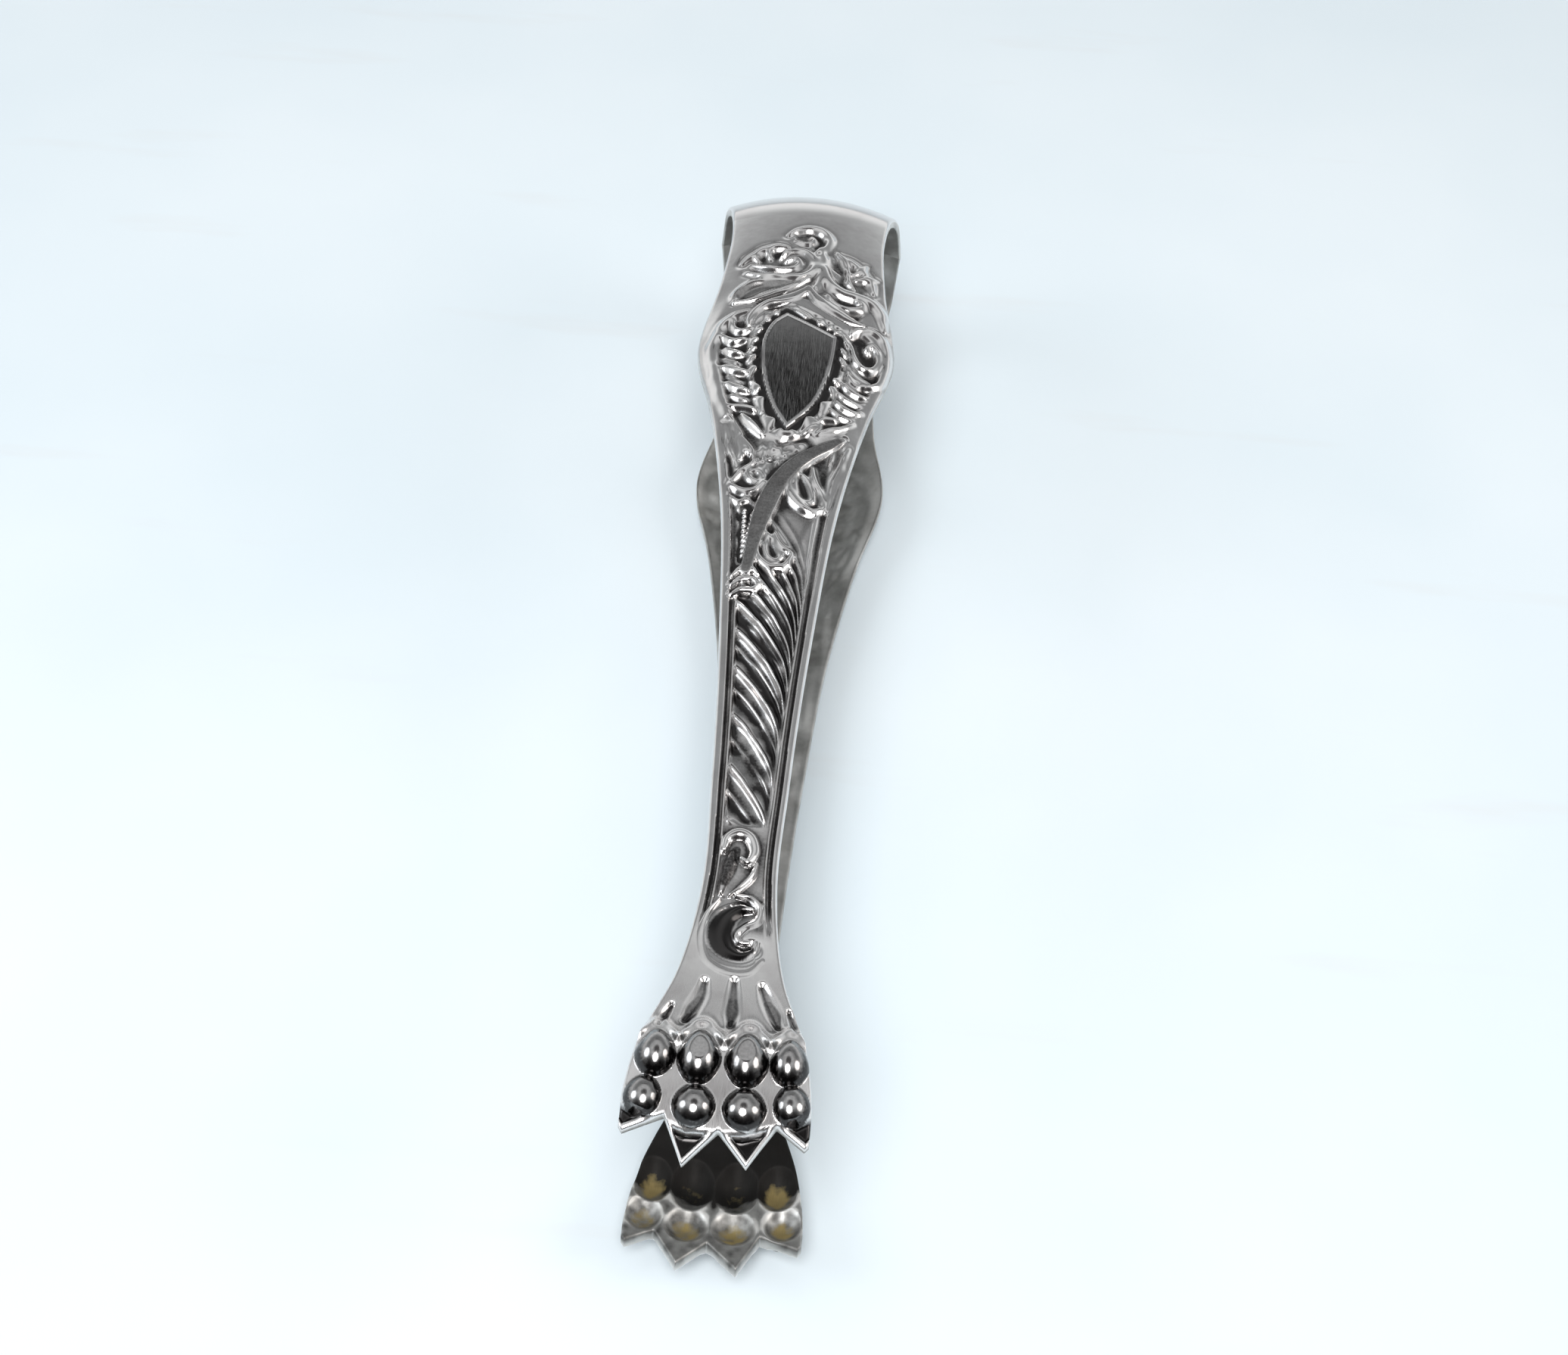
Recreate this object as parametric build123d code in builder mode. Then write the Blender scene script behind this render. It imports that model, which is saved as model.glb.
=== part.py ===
from build123d import *

import os
from math import cos, radians, sin, sqrt

# Claw-foot ice tongs: one pressed strip of sprung nickel silver, bent into a U. The
# bow at the far end is the spring, and each arm ends in a hollow foot of four toes.
# The strip is made as the sections that it works in: the crown of the bow, the two
# shoulders where the bow bends, the two arms and the two claw feet.
# +Z is up, the tongs lie along Y with the claws towards -Y, and X runs across the
# strip. The origin is the centre of the bottom of the bounding box. The two halves
# mirror each other in the level plane half way up. All sizes are in millimetres.

# --- driving dimensions ---------------------------------------------------------
overall_length = 130.0  # claw tips to the crown of the bow
half_height = 13.15  # table to the plane that the two arms mirror in
strip_thickness = 1.1
dome_radius = 26.0  # the strip is crowned across its width, bow and arms alike
foot_dome_radius = 60.0  # and nearly flat across the feet
blank_half_width = 12.0  # the strip before its outline is cut

# --- side view of the outer crown line, from the bow to the claws ----------------
bow_radius = 11.6
flex_turn = 45.0  # degrees round the bow where each half of it bends
neck_rise = 7.5  # degrees: the arms leave the bow opening out
bulge_y = 97.0  # widest place of the arms, where the shields sit
shank_fall = 3.3  # degrees: the arms close in from there to the ankle
ankle_y = 27.5  # the arm ends and the foot starts
ankle_rise = 4.5  # degrees: the foot opens out again before its toes
sole_y = 14.0  # the toes start to curl inwards
claw_curl = 20.0  # degrees of curl at the claw tips
claw_overrun = 4.0  # degrees of curl past the tips, cut back by the outline

# --- plan view: half width of the strip at a distance from the claw tips ----------
bow_outline = [(11.4, 132.5), (10.4, 127.5), (9.2, 122.5), (8.45, 117.0), (8.9, 108.0)]
arm_outline = [(10.4, 97.0), (8.2, 87.5), (6.0, 74.5), (4.5, 57.0), (3.6, 39.0)]
foot_outline = [(3.4, 27.5), (4.7, 18.0), (7.0, 11.5), (7.95, 5.8)]

# --- the toes, each as (distance from the centre line, distance from the tips) -----
claw_tips = [(2.5, 0.0), (7.8, 2.0)]
claw_notches = [(0.0, 3.2), (4.6, 3.8)]
first_knuckles = [(1.95, 8.2), (5.5, 8.8)]
first_knuckle_radius = 2.15
first_knuckle_rise = 2.09  # how far the knuckle stands out of the sheet
second_knuckles = [(2.2, 4.6), (6.1, 5.9)]
second_knuckle_radius = 1.9
second_knuckle_rise = 0.95
knuckle_wall = 0.8  # the knuckles are pressed out of the sheet, hollow behind

# --- the shield, a flat pad raised on the crown of each arm -------------------------
shield_half_width = 3.9
shield_top, shield_shoulder, shield_tip = 101.8, 97.8, 84.0
shield_depth = 0.8  # from its face down into the strip


def strip_section(start, run, radius):
    """Cross-section at the start of a run: the crown on the path, the edges fallen inwards."""
    edge_drop = radius - sqrt(radius**2 - blank_half_width**2)
    inner_radius = radius - strip_thickness
    inner_edge = blank_half_width * inner_radius / radius
    inner_drop = radius - sqrt(inner_radius**2 - inner_edge**2)
    with BuildSketch(Plane(origin=start, x_dir=(1, 0, 0), z_dir=run)) as section:
        with BuildLine():
            outer = ThreePointArc(
                (-blank_half_width, -edge_drop), (0, 0), (blank_half_width, -edge_drop)
            )
            inner = ThreePointArc(
                (-inner_edge, -inner_drop), (0, -strip_thickness), (inner_edge, -inner_drop)
            )
            Line(outer @ 0, inner @ 0)
            Line(outer @ 1, inner @ 1)
        make_face()
    return section.sketch


def foot_height(x, y):
    """Height of the foot's outer face over the mirror plane, on its curling, crowned strip."""
    crown = curl_centre_z + sqrt(curl_radius**2 - (y - curl_centre_y) ** 2)
    return crown - foot_dome_radius + sqrt(foot_dome_radius**2 - x**2)


def both_sides(points):
    """The points given for one side of the foot, and their mirror images."""
    return [(side * x, y) for x, y in points for side in (-1, 1)]


# The crown line is one run of tangent arcs, drawn in the plane x = 0. The radius of
# each arc follows from the length of the tongs that it spans and from how far it turns.
tip_y = -overall_length / 2
crown_plane = Plane(origin=(0, tip_y, half_height), x_dir=(0, 1, 0), z_dir=(1, 0, 0))
bow_centre_y = overall_length - bow_radius
neck_y = bow_centre_y + bow_radius * sin(radians(neck_rise))
neck_radius = (neck_y - bulge_y) / sin(radians(neck_rise))
shank_radius = (bulge_y - ankle_y) / sin(radians(shank_fall))
ankle_radius = (ankle_y - sole_y) / (sin(radians(shank_fall)) + sin(radians(ankle_rise)))
curl_radius = sole_y / (sin(radians(ankle_rise)) + sin(radians(claw_curl)))
with BuildLine(crown_plane) as crown_line:
    crown_arc = JernArc((overall_length, 0), (0, 1), bow_radius, flex_turn)
    shoulder_arc = JernArc(
        crown_arc @ 1, crown_arc % 1, bow_radius, 90 - neck_rise - flex_turn
    )
    neck_arc = JernArc(shoulder_arc @ 1, shoulder_arc % 1, neck_radius, neck_rise)
    shank_arc = JernArc(neck_arc @ 1, neck_arc % 1, shank_radius, shank_fall)
    ankle_arc = JernArc(
        shank_arc @ 1, shank_arc % 1, ankle_radius, -shank_fall - ankle_rise
    )
    curl_arc = JernArc(
        ankle_arc @ 1, ankle_arc % 1, curl_radius, ankle_rise + claw_curl + claw_overrun
    )
curl_start = crown_plane.to_local_coords(curl_arc @ 0)
curl_centre_y = curl_start.X - curl_radius * sin(radians(ankle_rise))
curl_centre_z = curl_start.Y - curl_radius * cos(radians(ankle_rise))

# The outline of the strip with its four claws, as a block that the strip is cut to.
plan = Plane(origin=(0, tip_y, half_height))
with BuildPart() as outline_block:
    with BuildSketch(plan):
        with BuildLine():
            flank = Spline(*bow_outline, *arm_outline, *foot_outline)
            Polyline(flank @ 1, claw_tips[1], claw_notches[1], claw_tips[0], claw_notches[0])
            Polyline(claw_notches[0], (0, bow_outline[0][1]), flank @ 0)
        make_face()
        mirror(about=Plane.YZ)
    extrude(amount=2 * half_height, both=True)

# --- the bow: its crown, and the shoulders that it joins the arms with -----------------
with BuildPart() as bow_crown:
    add(strip_section(crown_arc @ 0, crown_arc % 0, dome_radius))
    sweep(path=crown_arc)
    add(outline_block.part, mode=Mode.INTERSECT)
    mirror(about=Plane.XY.offset(half_height))

with BuildPart() as upper_bow_shoulder:
    add(strip_section(shoulder_arc @ 0, shoulder_arc % 0, dome_radius))
    sweep(path=shoulder_arc)
    add(outline_block.part, mode=Mode.INTERSECT)

# --- the arm, with its shield ------------------------------------------------------------
with BuildPart() as upper_arm:
    for arc in (neck_arc, shank_arc):
        add(strip_section(arc @ 0, arc % 0, dome_radius))
        sweep(path=arc)
    add(outline_block.part, mode=Mode.INTERSECT)
    with BuildSketch(Plane(origin=(0, tip_y, 2 * half_height))):
        with BuildLine():
            brow = ThreePointArc(
                (0, shield_top), (2.6, shield_top - 1.0), (shield_half_width, shield_shoulder)
            )
            Spline(
                brow @ 1,
                (0.8 * shield_half_width, 0.5 * (shield_shoulder + shield_tip)),
                (0, shield_tip),
                tangents=[(0, -1), (-1, -1)],
            )
            Line((0, shield_tip), (0, shield_top))
        make_face()
        mirror(about=Plane.YZ)
    extrude(amount=-shield_depth)

# --- the foot: the curling sheet, and the knuckles pressed up out of it ------------------
with BuildPart() as upper_claw_foot:
    for arc in (ankle_arc, curl_arc):
        add(strip_section(arc @ 0, arc % 0, foot_dome_radius))
        sweep(path=arc)
    add(outline_block.part, mode=Mode.INTERSECT)
    for knuckles, radius, rise in (
        (first_knuckles, first_knuckle_radius, first_knuckle_rise),
        (second_knuckles, second_knuckle_radius, second_knuckle_rise),
    ):
        centres = [
            (x, tip_y + y, half_height + foot_height(x, y) + rise - radius)
            for x, y in both_sides(knuckles)
        ]
        with Locations(*centres):
            Sphere(radius, arc_size1=0, align=(Align.CENTER, Align.CENTER, Align.MIN))
        with Locations(*centres):
            Sphere(radius - knuckle_wall, mode=Mode.SUBTRACT)

# --- the lower half mirrors the upper ----------------------------------------------------
with BuildPart() as lower_bow_shoulder:
    add(upper_bow_shoulder.part.mirror(Plane.XY.offset(half_height)))
with BuildPart() as lower_arm:
    add(upper_arm.part.mirror(Plane.XY.offset(half_height)))
with BuildPart() as lower_claw_foot:
    add(upper_claw_foot.part.mirror(Plane.XY.offset(half_height)))

pieces = {
    "bow_crown": bow_crown,
    "upper_bow_shoulder": upper_bow_shoulder,
    "lower_bow_shoulder": lower_bow_shoulder,
    "upper_arm": upper_arm,
    "lower_arm": lower_arm,
    "upper_claw_foot": upper_claw_foot,
    "lower_claw_foot": lower_claw_foot,
}
os.makedirs("parts", exist_ok=True)
for name, piece in pieces.items():
    piece.part.label = name
    export_step(piece.part, f"parts/{name}.step")
    print(name, round(piece.part.volume, 1), piece.part.bounding_box())
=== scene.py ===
import math
import bpy
import numpy as np
from mathutils import Matrix, Vector


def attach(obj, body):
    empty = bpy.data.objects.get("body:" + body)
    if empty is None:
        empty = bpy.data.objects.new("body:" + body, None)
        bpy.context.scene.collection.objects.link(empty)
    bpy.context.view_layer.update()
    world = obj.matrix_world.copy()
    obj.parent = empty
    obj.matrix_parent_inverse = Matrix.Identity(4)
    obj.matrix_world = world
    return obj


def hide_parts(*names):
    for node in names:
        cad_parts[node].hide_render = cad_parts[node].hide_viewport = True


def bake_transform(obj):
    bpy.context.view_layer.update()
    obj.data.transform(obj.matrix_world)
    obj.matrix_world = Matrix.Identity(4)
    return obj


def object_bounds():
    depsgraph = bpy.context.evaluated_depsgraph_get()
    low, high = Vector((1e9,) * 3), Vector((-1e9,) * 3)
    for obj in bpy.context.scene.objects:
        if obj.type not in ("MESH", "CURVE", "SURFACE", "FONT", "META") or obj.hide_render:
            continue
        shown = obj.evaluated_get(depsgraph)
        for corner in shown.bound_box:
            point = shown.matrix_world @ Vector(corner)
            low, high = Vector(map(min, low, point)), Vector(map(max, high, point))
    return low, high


# Claw-foot ice tongs in silver plate. Each half of the strip is worked out as a grid over
# (x, v): x across the strip and v along it, from the claw tips (0) to the crown of the bow.
# The pressed scrollwork is a height over that grid. Shapes are in millimetres until they
# become meshes, and the upper half turned about the mid line makes the lower half.
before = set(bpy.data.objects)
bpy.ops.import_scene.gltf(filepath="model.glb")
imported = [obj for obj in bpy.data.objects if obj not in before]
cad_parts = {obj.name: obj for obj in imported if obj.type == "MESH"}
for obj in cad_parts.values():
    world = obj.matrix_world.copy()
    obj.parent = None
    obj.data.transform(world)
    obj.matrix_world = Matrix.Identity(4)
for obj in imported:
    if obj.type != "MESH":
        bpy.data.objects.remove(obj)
cadLow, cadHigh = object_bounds()
mm = 0.001
midHeight = 0.5 * (cadLow.z + cadHigh.z) / mm  # the level that the two arms mirror in
tipLine = cadLow.y / mm  # the row frame's y at the claw tips
topFace = 0.5 * (cadHigh.z - cadLow.z) / mm  # highest point, over the mid level

# the camera: degrees, and millimetres to the point on the mid level that it aims at
shot = dict(
    elevation=49.37, heading=-2.16, roll=2.84, away=264.6, aimX=1.77, aimY=-3.34, lens=60.64, sensor=36,
)


def makeCamera():
    # looks at the aim point from behind it along the viewing line, rolled about that line
    up = math.radians(shot["elevation"])
    turn = math.radians(shot["heading"])
    forward = Vector((math.sin(turn) * math.cos(up), math.cos(turn) * math.cos(up), -math.sin(up)))
    level = forward.cross(Vector((0, 0, 1))).normalized()
    tilt = level.cross(forward)
    roll = math.radians(shot["roll"])
    right = level * math.cos(roll) + tilt * math.sin(roll)
    top = tilt * math.cos(roll) - level * math.sin(roll)
    aim = Vector((shot["aimX"], shot["aimY"], midHeight)) * mm
    data = bpy.data.cameras.new("camera")
    data.lens = shot["lens"]
    data.sensor_width = shot["sensor"]
    data.clip_start = 10 * mm
    camera = bpy.data.objects.new("camera", data)
    facing = Matrix((right, top, -forward)).transposed().to_4x4()
    camera.matrix_world = Matrix.Translation(aim - forward * shot["away"] * mm) @ facing
    bpy.context.collection.objects.link(camera)
    bpy.context.scene.camera = camera


makeCamera()
print("camera placed")

# sizes as in the CAD model: tangent arcs along the crown line, and half widths by distance
strip = dict(
    length=130.0, bowRadius=11.6, neckRise=7.5, bulgeAt=97.0, shankFall=3.3, ankleAt=27.5, ankleRise=4.5,
    soleAt=14.0, clawCurl=20.0, armDome=26.0, footDome=60.0, footDomeTo=17.0, armDomeFrom=36.0,
    thickness=1.05, thinnest=0.25, edgeRound=0.28, pressedTo=118.0, footWorkTo=20.0,
    outline=[
        (0.0, 7.9), (5.8, 7.95), (11.5, 7.0), (18.0, 4.75), (27.5, 3.4), (39.0, 3.6),
        (57.0, 4.5), (74.5, 6.0), (87.5, 8.2), (97.0, 10.4), (108.0, 8.95), (117.0, 8.45),
        (122.0, 8.85), (128.5, 9.8), (136.61, 10.42),
    ],
)


def through(points, at):
    # a smooth curve through (place, value) points: cubic spans with averaged slopes
    place, value = np.array(points, float).T
    slope = np.gradient(value, place)
    k = np.clip(np.searchsorted(place, at) - 1, 0, len(place) - 2)
    gap = place[k + 1] - place[k]
    t = np.clip((at - place[k]) / gap, 0, 1)
    return (
        (1 + 2 * t) * (1 - t) ** 2 * value[k]
        + t * (1 - t) ** 2 * gap * slope[k]
        + t * t * (3 - 2 * t) * value[k + 1]
        - t * t * (1 - t) * gap * slope[k + 1]
    )


def ease(low, high, at):
    # 0 below low, 1 above high, and a smooth step between
    t = np.clip((at - low) / (high - low), 0, 1)
    return t * t * (3 - 2 * t)


def crownLine(v):
    # y and z of the outer crown line and of its outward normal: circular arcs whose sine
    # grows evenly along the strip, then the quarter circle of the bow
    s = strip
    rise, fall, lift, curl = (
        math.radians(s[k]) for k in ("neckRise", "shankFall", "ankleRise", "clawCurl")
    )
    bowAt = s["length"] - s["bowRadius"]
    neckAt = bowAt + s["bowRadius"] * math.sin(rise)
    neckR = (neckAt - s["bulgeAt"]) / math.sin(rise)
    shankR = (s["bulgeAt"] - s["ankleAt"]) / math.sin(fall)
    ankleR = (s["ankleAt"] - s["soleAt"]) / (math.sin(fall) + math.sin(lift))
    curlR = s["soleAt"] / (math.sin(lift) + math.sin(curl))
    peak = s["bowRadius"] * math.cos(rise) + neckR * (1 - math.cos(rise))
    ankleZ = peak - shankR * (1 - math.cos(fall))
    dipZ = ankleZ - ankleR * (1 - math.cos(fall))
    dipAt = s["ankleAt"] - ankleR * math.sin(fall)
    soleTop = dipZ + ankleR * (1 - math.cos(lift)) + curlR * (1 - math.cos(lift))
    curlAt = s["soleAt"] - curlR * math.sin(lift)
    spans = [v < s["soleAt"], v < s["ankleAt"], v < s["bulgeAt"], v <= neckAt]
    fromBulge = v - s["bulgeAt"]
    sine = np.select(
        spans, [(v - curlAt) / curlR, (v - dipAt) / ankleR, -fromBulge / shankR, fromBulge / neckR], 0.0
    )
    bend = 1 - np.sqrt(1 - np.clip(sine, -0.99, 0.99) ** 2)
    armZ = np.select(
        spans, [soleTop - curlR * bend, dipZ + ankleR * bend, peak - shankR * bend, peak - neckR * bend]
    )
    fallsWithY = np.select(spans, [sine, -sine, -sine, sine])
    turned = math.pi / 2 - rise - (v - neckAt) / s["bowRadius"]
    inBow = v > neckAt
    y = np.where(inBow, bowAt + s["bowRadius"] * np.cos(turned), v)
    z = np.where(inBow, s["bowRadius"] * np.sin(turned), armZ)
    ny = np.where(inBow, np.cos(turned), fallsWithY)
    nz = np.where(inBow, np.sin(turned), np.sqrt(1 - fallsWithY**2))
    return y, z, ny, nz


def domeDrop(x, v):
    # how far the strip falls away beside its crown: a circle, flatter across the foot
    arm = strip["armDome"] - np.sqrt(strip["armDome"] ** 2 - x**2)
    foot = strip["footDome"] - np.sqrt(strip["footDome"] ** 2 - x**2)
    return foot + (arm - foot) * ease(strip["footDomeTo"], strip["armDomeFrom"], v)


def onStrip(x, v, height):
    # the point over (x, v): along the crown line's normal by height less the dome's drop
    y, z, ny, nz = crownLine(v)
    out = height - domeDrop(x, v)
    return np.stack([x, tipLine + y + ny * out, midHeight + z + nz * out], -1)


def halfWidth(v):
    # half the width of the strip by distance: a smooth curve through its outline
    return through(strip["outline"], v)


def smoothPath(points, steps=9):
    # Catmull-Rom curve through the points; a third column carries the half width along
    p = np.array(points, float)
    p = np.vstack([2 * p[0] - p[1], p, 2 * p[-1] - p[-2]])
    t = np.linspace(0, 1, steps, endpoint=False)[:, None]
    a, b, c, d = (p[k : len(p) - 3 + k, None] for k in range(4))
    spans = 2 * b + (c - a) * t + (2 * a - 5 * b + 4 * c - d) * t**2 + (3 * b - a - 3 * c + d) * t**3
    return np.vstack([*(0.5 * spans), p[-2:-1]])


def nearest(x, v, path):
    # distance from each place to the path, and how far along the path the nearest point is
    a, run = path[:-1, :2], np.diff(path[:, :2], axis=0)
    dx = x[:, None] - a[:, 0]
    dv = v[:, None] - a[:, 1]
    t = np.clip((dx * run[:, 0] + dv * run[:, 1]) / np.maximum((run**2).sum(1), 1e-9), 0, 1)
    gap = (dx - t * run[:, 0]) ** 2 + (dv - t * run[:, 1]) ** 2
    k = gap.argmin(1)
    row = np.arange(len(x))
    return np.sqrt(gap[row, k]), k + t[row, k]


# cross-sections of a carved line, by the distance from its middle as a share q of its half width
sections = dict(
    round=lambda q: np.maximum(1 - q * q, 0) ** 0.72,
    soft=lambda q: (1 - q * q) ** 2,
    flat=lambda q: ease(0.0, 0.42, 1 - q),
)


def within(field, ring, reach=0.0):
    # the places in the box round an outline, or nearer to that box than reach
    x, v = field["x"], field["v"]
    return np.flatnonzero(
        (x > ring[:, 0].min() - reach) & (x < ring[:, 0].max() + reach)
        & (v > ring[:, 1].min() - reach) & (v < ring[:, 1].max() + reach)
    )


def carve(field, points, level, section):
    # draws the surface towards a level along a path, by the section's share of the way
    path = smoothPath(points)
    near = within(field, path, path[:, 2].max())
    if not len(near):
        return
    gap, along = nearest(field["x"][near], field["v"][near], path)
    width = np.interp(along, np.arange(len(path)), path[:, 2])
    share = sections[section](np.clip(gap / np.maximum(width, 1e-3), 0, 1))
    field["h"][near] += (level - field["h"][near]) * share
    field["worked"][near] = np.maximum(field["worked"][near], share)


def shadeAlong(field, points, most):
    # darkness painted along a path, fading towards its edges
    path = smoothPath(points)
    gap, along = nearest(field["x"], field["v"], path)
    width = np.interp(along, np.arange(len(path)), path[:, 2])
    share = ease(0.0, 0.4, 1 - np.clip(gap / width, 0, 1)) * most
    field["shade"] = np.maximum(field["shade"], share)


# round each group of the scrollwork, a moat: its level, and how much wider than the line it is
moats = dict(
    leftSide=(-0.3, 0.24), rightSide=(-0.3, 0.24), crest=(-0.45, 0.34), sweep=(-0.4, 0.3), roof=(-0.3, 0.24),
    blade=(-0.34, 0.34),
)


def emboss(field, group):
    # presses the moat round every line of a group, then raises the lines out of it
    moat, wider = moats[group]
    for _, _, line in scrolls[group]:
        carve(field, [(x, v, half + wider) for x, v, half in line], moat, "soft")
    for level, section, line in scrolls[group]:
        carve(field, line, level, section)


def outlineOf(*edges):
    # a closed outline from smooth edges that meet at corners
    return np.vstack([smoothPath(edge)[:-1] for edge in edges])


def insideOf(x, v, ring):
    # how deep each place is inside a closed outline, negative outside it, and how far
    # round the outline it is: even-odd crossings give the sign of the nearest distance
    closed = np.vstack([ring, ring[:1]])
    gap, along = nearest(x, v, closed)
    a, b = closed[:-1], closed[1:]
    spans = (a[:, 1] > v[:, None]) != (b[:, 1] > v[:, None])
    rise = np.where(b[:, 1] == a[:, 1], 1e-9, b[:, 1] - a[:, 1])
    cross = (b[:, 0] - a[:, 0]) * (v[:, None] - a[:, 1]) / rise + a[:, 0]
    inside = ((x[:, None] < cross) & spans).sum(1) % 2 == 1
    return np.where(inside, gap, -gap), along / len(ring)


def leaf(field, edges, level, lip, dish, rim=0.28, hollow=1.0):
    # a pressed leaf: a lip of width rim round its outline, and a dish inside that deepens
    # over the distance hollow
    ring = outlineOf(*edges)
    near = within(field, ring)
    if not len(near):
        return
    depth, _ = insideOf(field["x"][near], field["v"][near], ring)
    lipLine = ease(0.0, rim, depth)
    shape = level + lip - dish * ease(rim, rim + hollow, depth)
    field["h"][near] += (shape - field["h"][near]) * lipLine


def grain(x, v, pitch, seed):
    # smooth random heights, -1 to 1, on a lattice of the given pitch
    table = np.random.default_rng(seed).uniform(-1, 1, (64, 64))
    a, b = x / pitch, v / pitch
    i, j = np.floor(a).astype(int), np.floor(b).astype(int)
    s, t = a - i, b - j
    s, t = s * s * (3 - 2 * s), t * t * (3 - 2 * t)
    near = table[i % 64, j % 64] * (1 - s) + table[(i + 1) % 64, j % 64] * s
    far = table[i % 64, (j + 1) % 64] * (1 - s) + table[(i + 1) % 64, (j + 1) % 64] * s
    return near * (1 - t) + far * t


# the edges of the arms: left and right give the width of the plain band by distance. Inwards
# from the band come a groove, a thin bead line and the sunk panel.
rims = dict(
    left=[
        (20, 0.5), (30, 0.62), (43, 0.74), (58, 0.82), (73, 0.94), (82, 0.9), (90, 1.1), (97, 1.2),
        (105, 1.6),
    ],
    right=[
        (20, 0.5), (30, 0.5), (43, 0.58), (58, 0.75), (71, 0.95), (80, 1.15), (86, 1.6), (92, 0.9),
        (105, 0.9),
    ],
    slope=0.24, grooveAt=0.22, grooveReach=0.3, grooveLevel=-0.62, beadAt=0.62, beadWidth=0.17,
    beadLevel=-0.2, panelFrom=0.05, panelTo=0.3, panelLevel=-0.5, widerBy=0.6, widerFrom=55.0,
    widerTo=75.0, shankFrom=(22.0, 27.0), shankTo=(80.0, 86.0), bevelTo=(100.0, 108.0),
)


def cutRims(field):
    # both edges of the arm: a bevel that slopes outwards, a groove, a thin bead line
    s = rims
    x, v = field["x"], field["v"]
    edge = field["w"] - np.abs(x)
    band = np.where(x < 0, through(s["left"], v), through(s["right"], v))
    head = ease(*s["shankTo"], v)
    shank = ease(*s["shankFrom"], v) * (1 - head)
    inwards = (edge - band) / (1 + s["widerBy"] * ease(s["widerFrom"], s["widerTo"], v))
    toGroove = np.abs(inwards - s["grooveAt"]) / s["grooveReach"]
    groove = s["grooveLevel"] * np.clip(1 - toGroove, 0, 1) ** 0.7
    bead = np.clip(1 - ((inwards - s["beadAt"]) / s["beadWidth"]) ** 2, 0, 1)
    inner = np.minimum(groove, s["panelLevel"] * ease(s["panelFrom"], s["panelTo"], inwards))
    inner = inner + (s["beadLevel"] - inner) * bead
    bevel = -s["slope"] * np.clip(band - edge, 0, None)
    field["h"] += np.where(inwards > 0, inner, bevel) * shank
    upper = 1 - ease(*s["bevelTo"], v)
    field["h"] += np.where(inwards > 0, 0, bevel) * (1 - shank) * head * upper


shield = dict(
    edges=[
        [(-1.28, 101.4), (1.45, 99.85), (4.17, 98.15)],
        [(4.17, 98.15), (4.05, 95.2), (3.55, 91.6), (2.35, 87.6), (-0.08, 84.0)],
        [
            (-0.08, 84.0), (-1.75, 87.0), (-2.95, 90.9), (-3.5, 94.6), (-3.45, 97.4), (-2.7, 99.8),
            (-1.28, 101.4),
        ],
    ],
    faceSunk=0.08, faceEdge=0.12, lineAt=0.09, lineWidth=0.11, lineKept=0.95, mirrorFrom=0.2, mirrorTo=0.5,
    trenchTo=0.75, trenchFade=0.4, trenchLevel=-0.16, trenchFilm=0.95, ruffleFrom=0.42, ruffleTo=1.9,
    ruffleFade=0.8, ruffleLevel=0.34, ruffleFall=0.35, ruffleTeeth=21, toothLength=0.85, toothFall=0.3,
    toothShape=1.4, toothWander=0.55, wanderPitch=2.1,
)


def setShield(field):
    # a flat mirror pad inside the outline, a thin raised line on it, a trench round it and
    # then a ruffle, whose teeth rise and fall with the way round the outline
    s = shield
    ring = outlineOf(*s["edges"])
    near = within(field, ring, s["ruffleTo"])
    if not len(near):
        return
    x, v, h = (field[name][near] for name in ("x", "v", "h"))
    depth, around = insideOf(x, v, ring)
    outer = -depth
    count = s["ruffleTeeth"] * around + s["toothWander"] * grain(x, v, s["wanderPitch"], 5)
    tooth = np.abs(2 * (count - np.floor(count)) - 1) ** s["toothShape"]
    trench = 1 - ease(s["trenchTo"], s["trenchTo"] + s["trenchFade"], outer)
    h = np.where(outer > 0, h + (s["trenchLevel"] - h) * trench, h)
    film = s["trenchFilm"] * (1 - ease(s["ruffleFrom"] + 0.3, s["trenchTo"] + 0.5, outer))
    start = s["ruffleFrom"] + s["toothLength"] * tooth
    ruffle = ease(start - 0.1, start + 0.2, outer)
    ruffle = ruffle * (1 - ease(s["ruffleTo"] - s["ruffleFade"], s["ruffleTo"], outer))
    level = s["ruffleLevel"] - s["ruffleFall"] * (outer - s["ruffleFrom"]) - s["toothFall"] * tooth
    h = h + (level - h) * ruffle
    shade = np.where(outer > 0, film, 0) * (1 - ruffle)
    _, z, _, nz = crownLine(v)
    face = (topFace - s["faceSunk"] - z) / nz + domeDrop(x, v)  # flat, just under the box's top
    h = h + (face - h) * ease(-s["faceEdge"], 0.0, depth)
    line = np.clip(1 - (np.abs(depth - s["lineAt"]) / s["lineWidth"]) ** 2, 0, 1)
    field["h"][near] = h + s["faceSunk"] * s["lineKept"] * line
    field["shade"][near] = np.maximum(field["shade"][near], shade)
    field["mirror"][near] = np.maximum(field["mirror"][near], ease(s["mirrorFrom"], s["mirrorTo"], depth))


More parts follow.
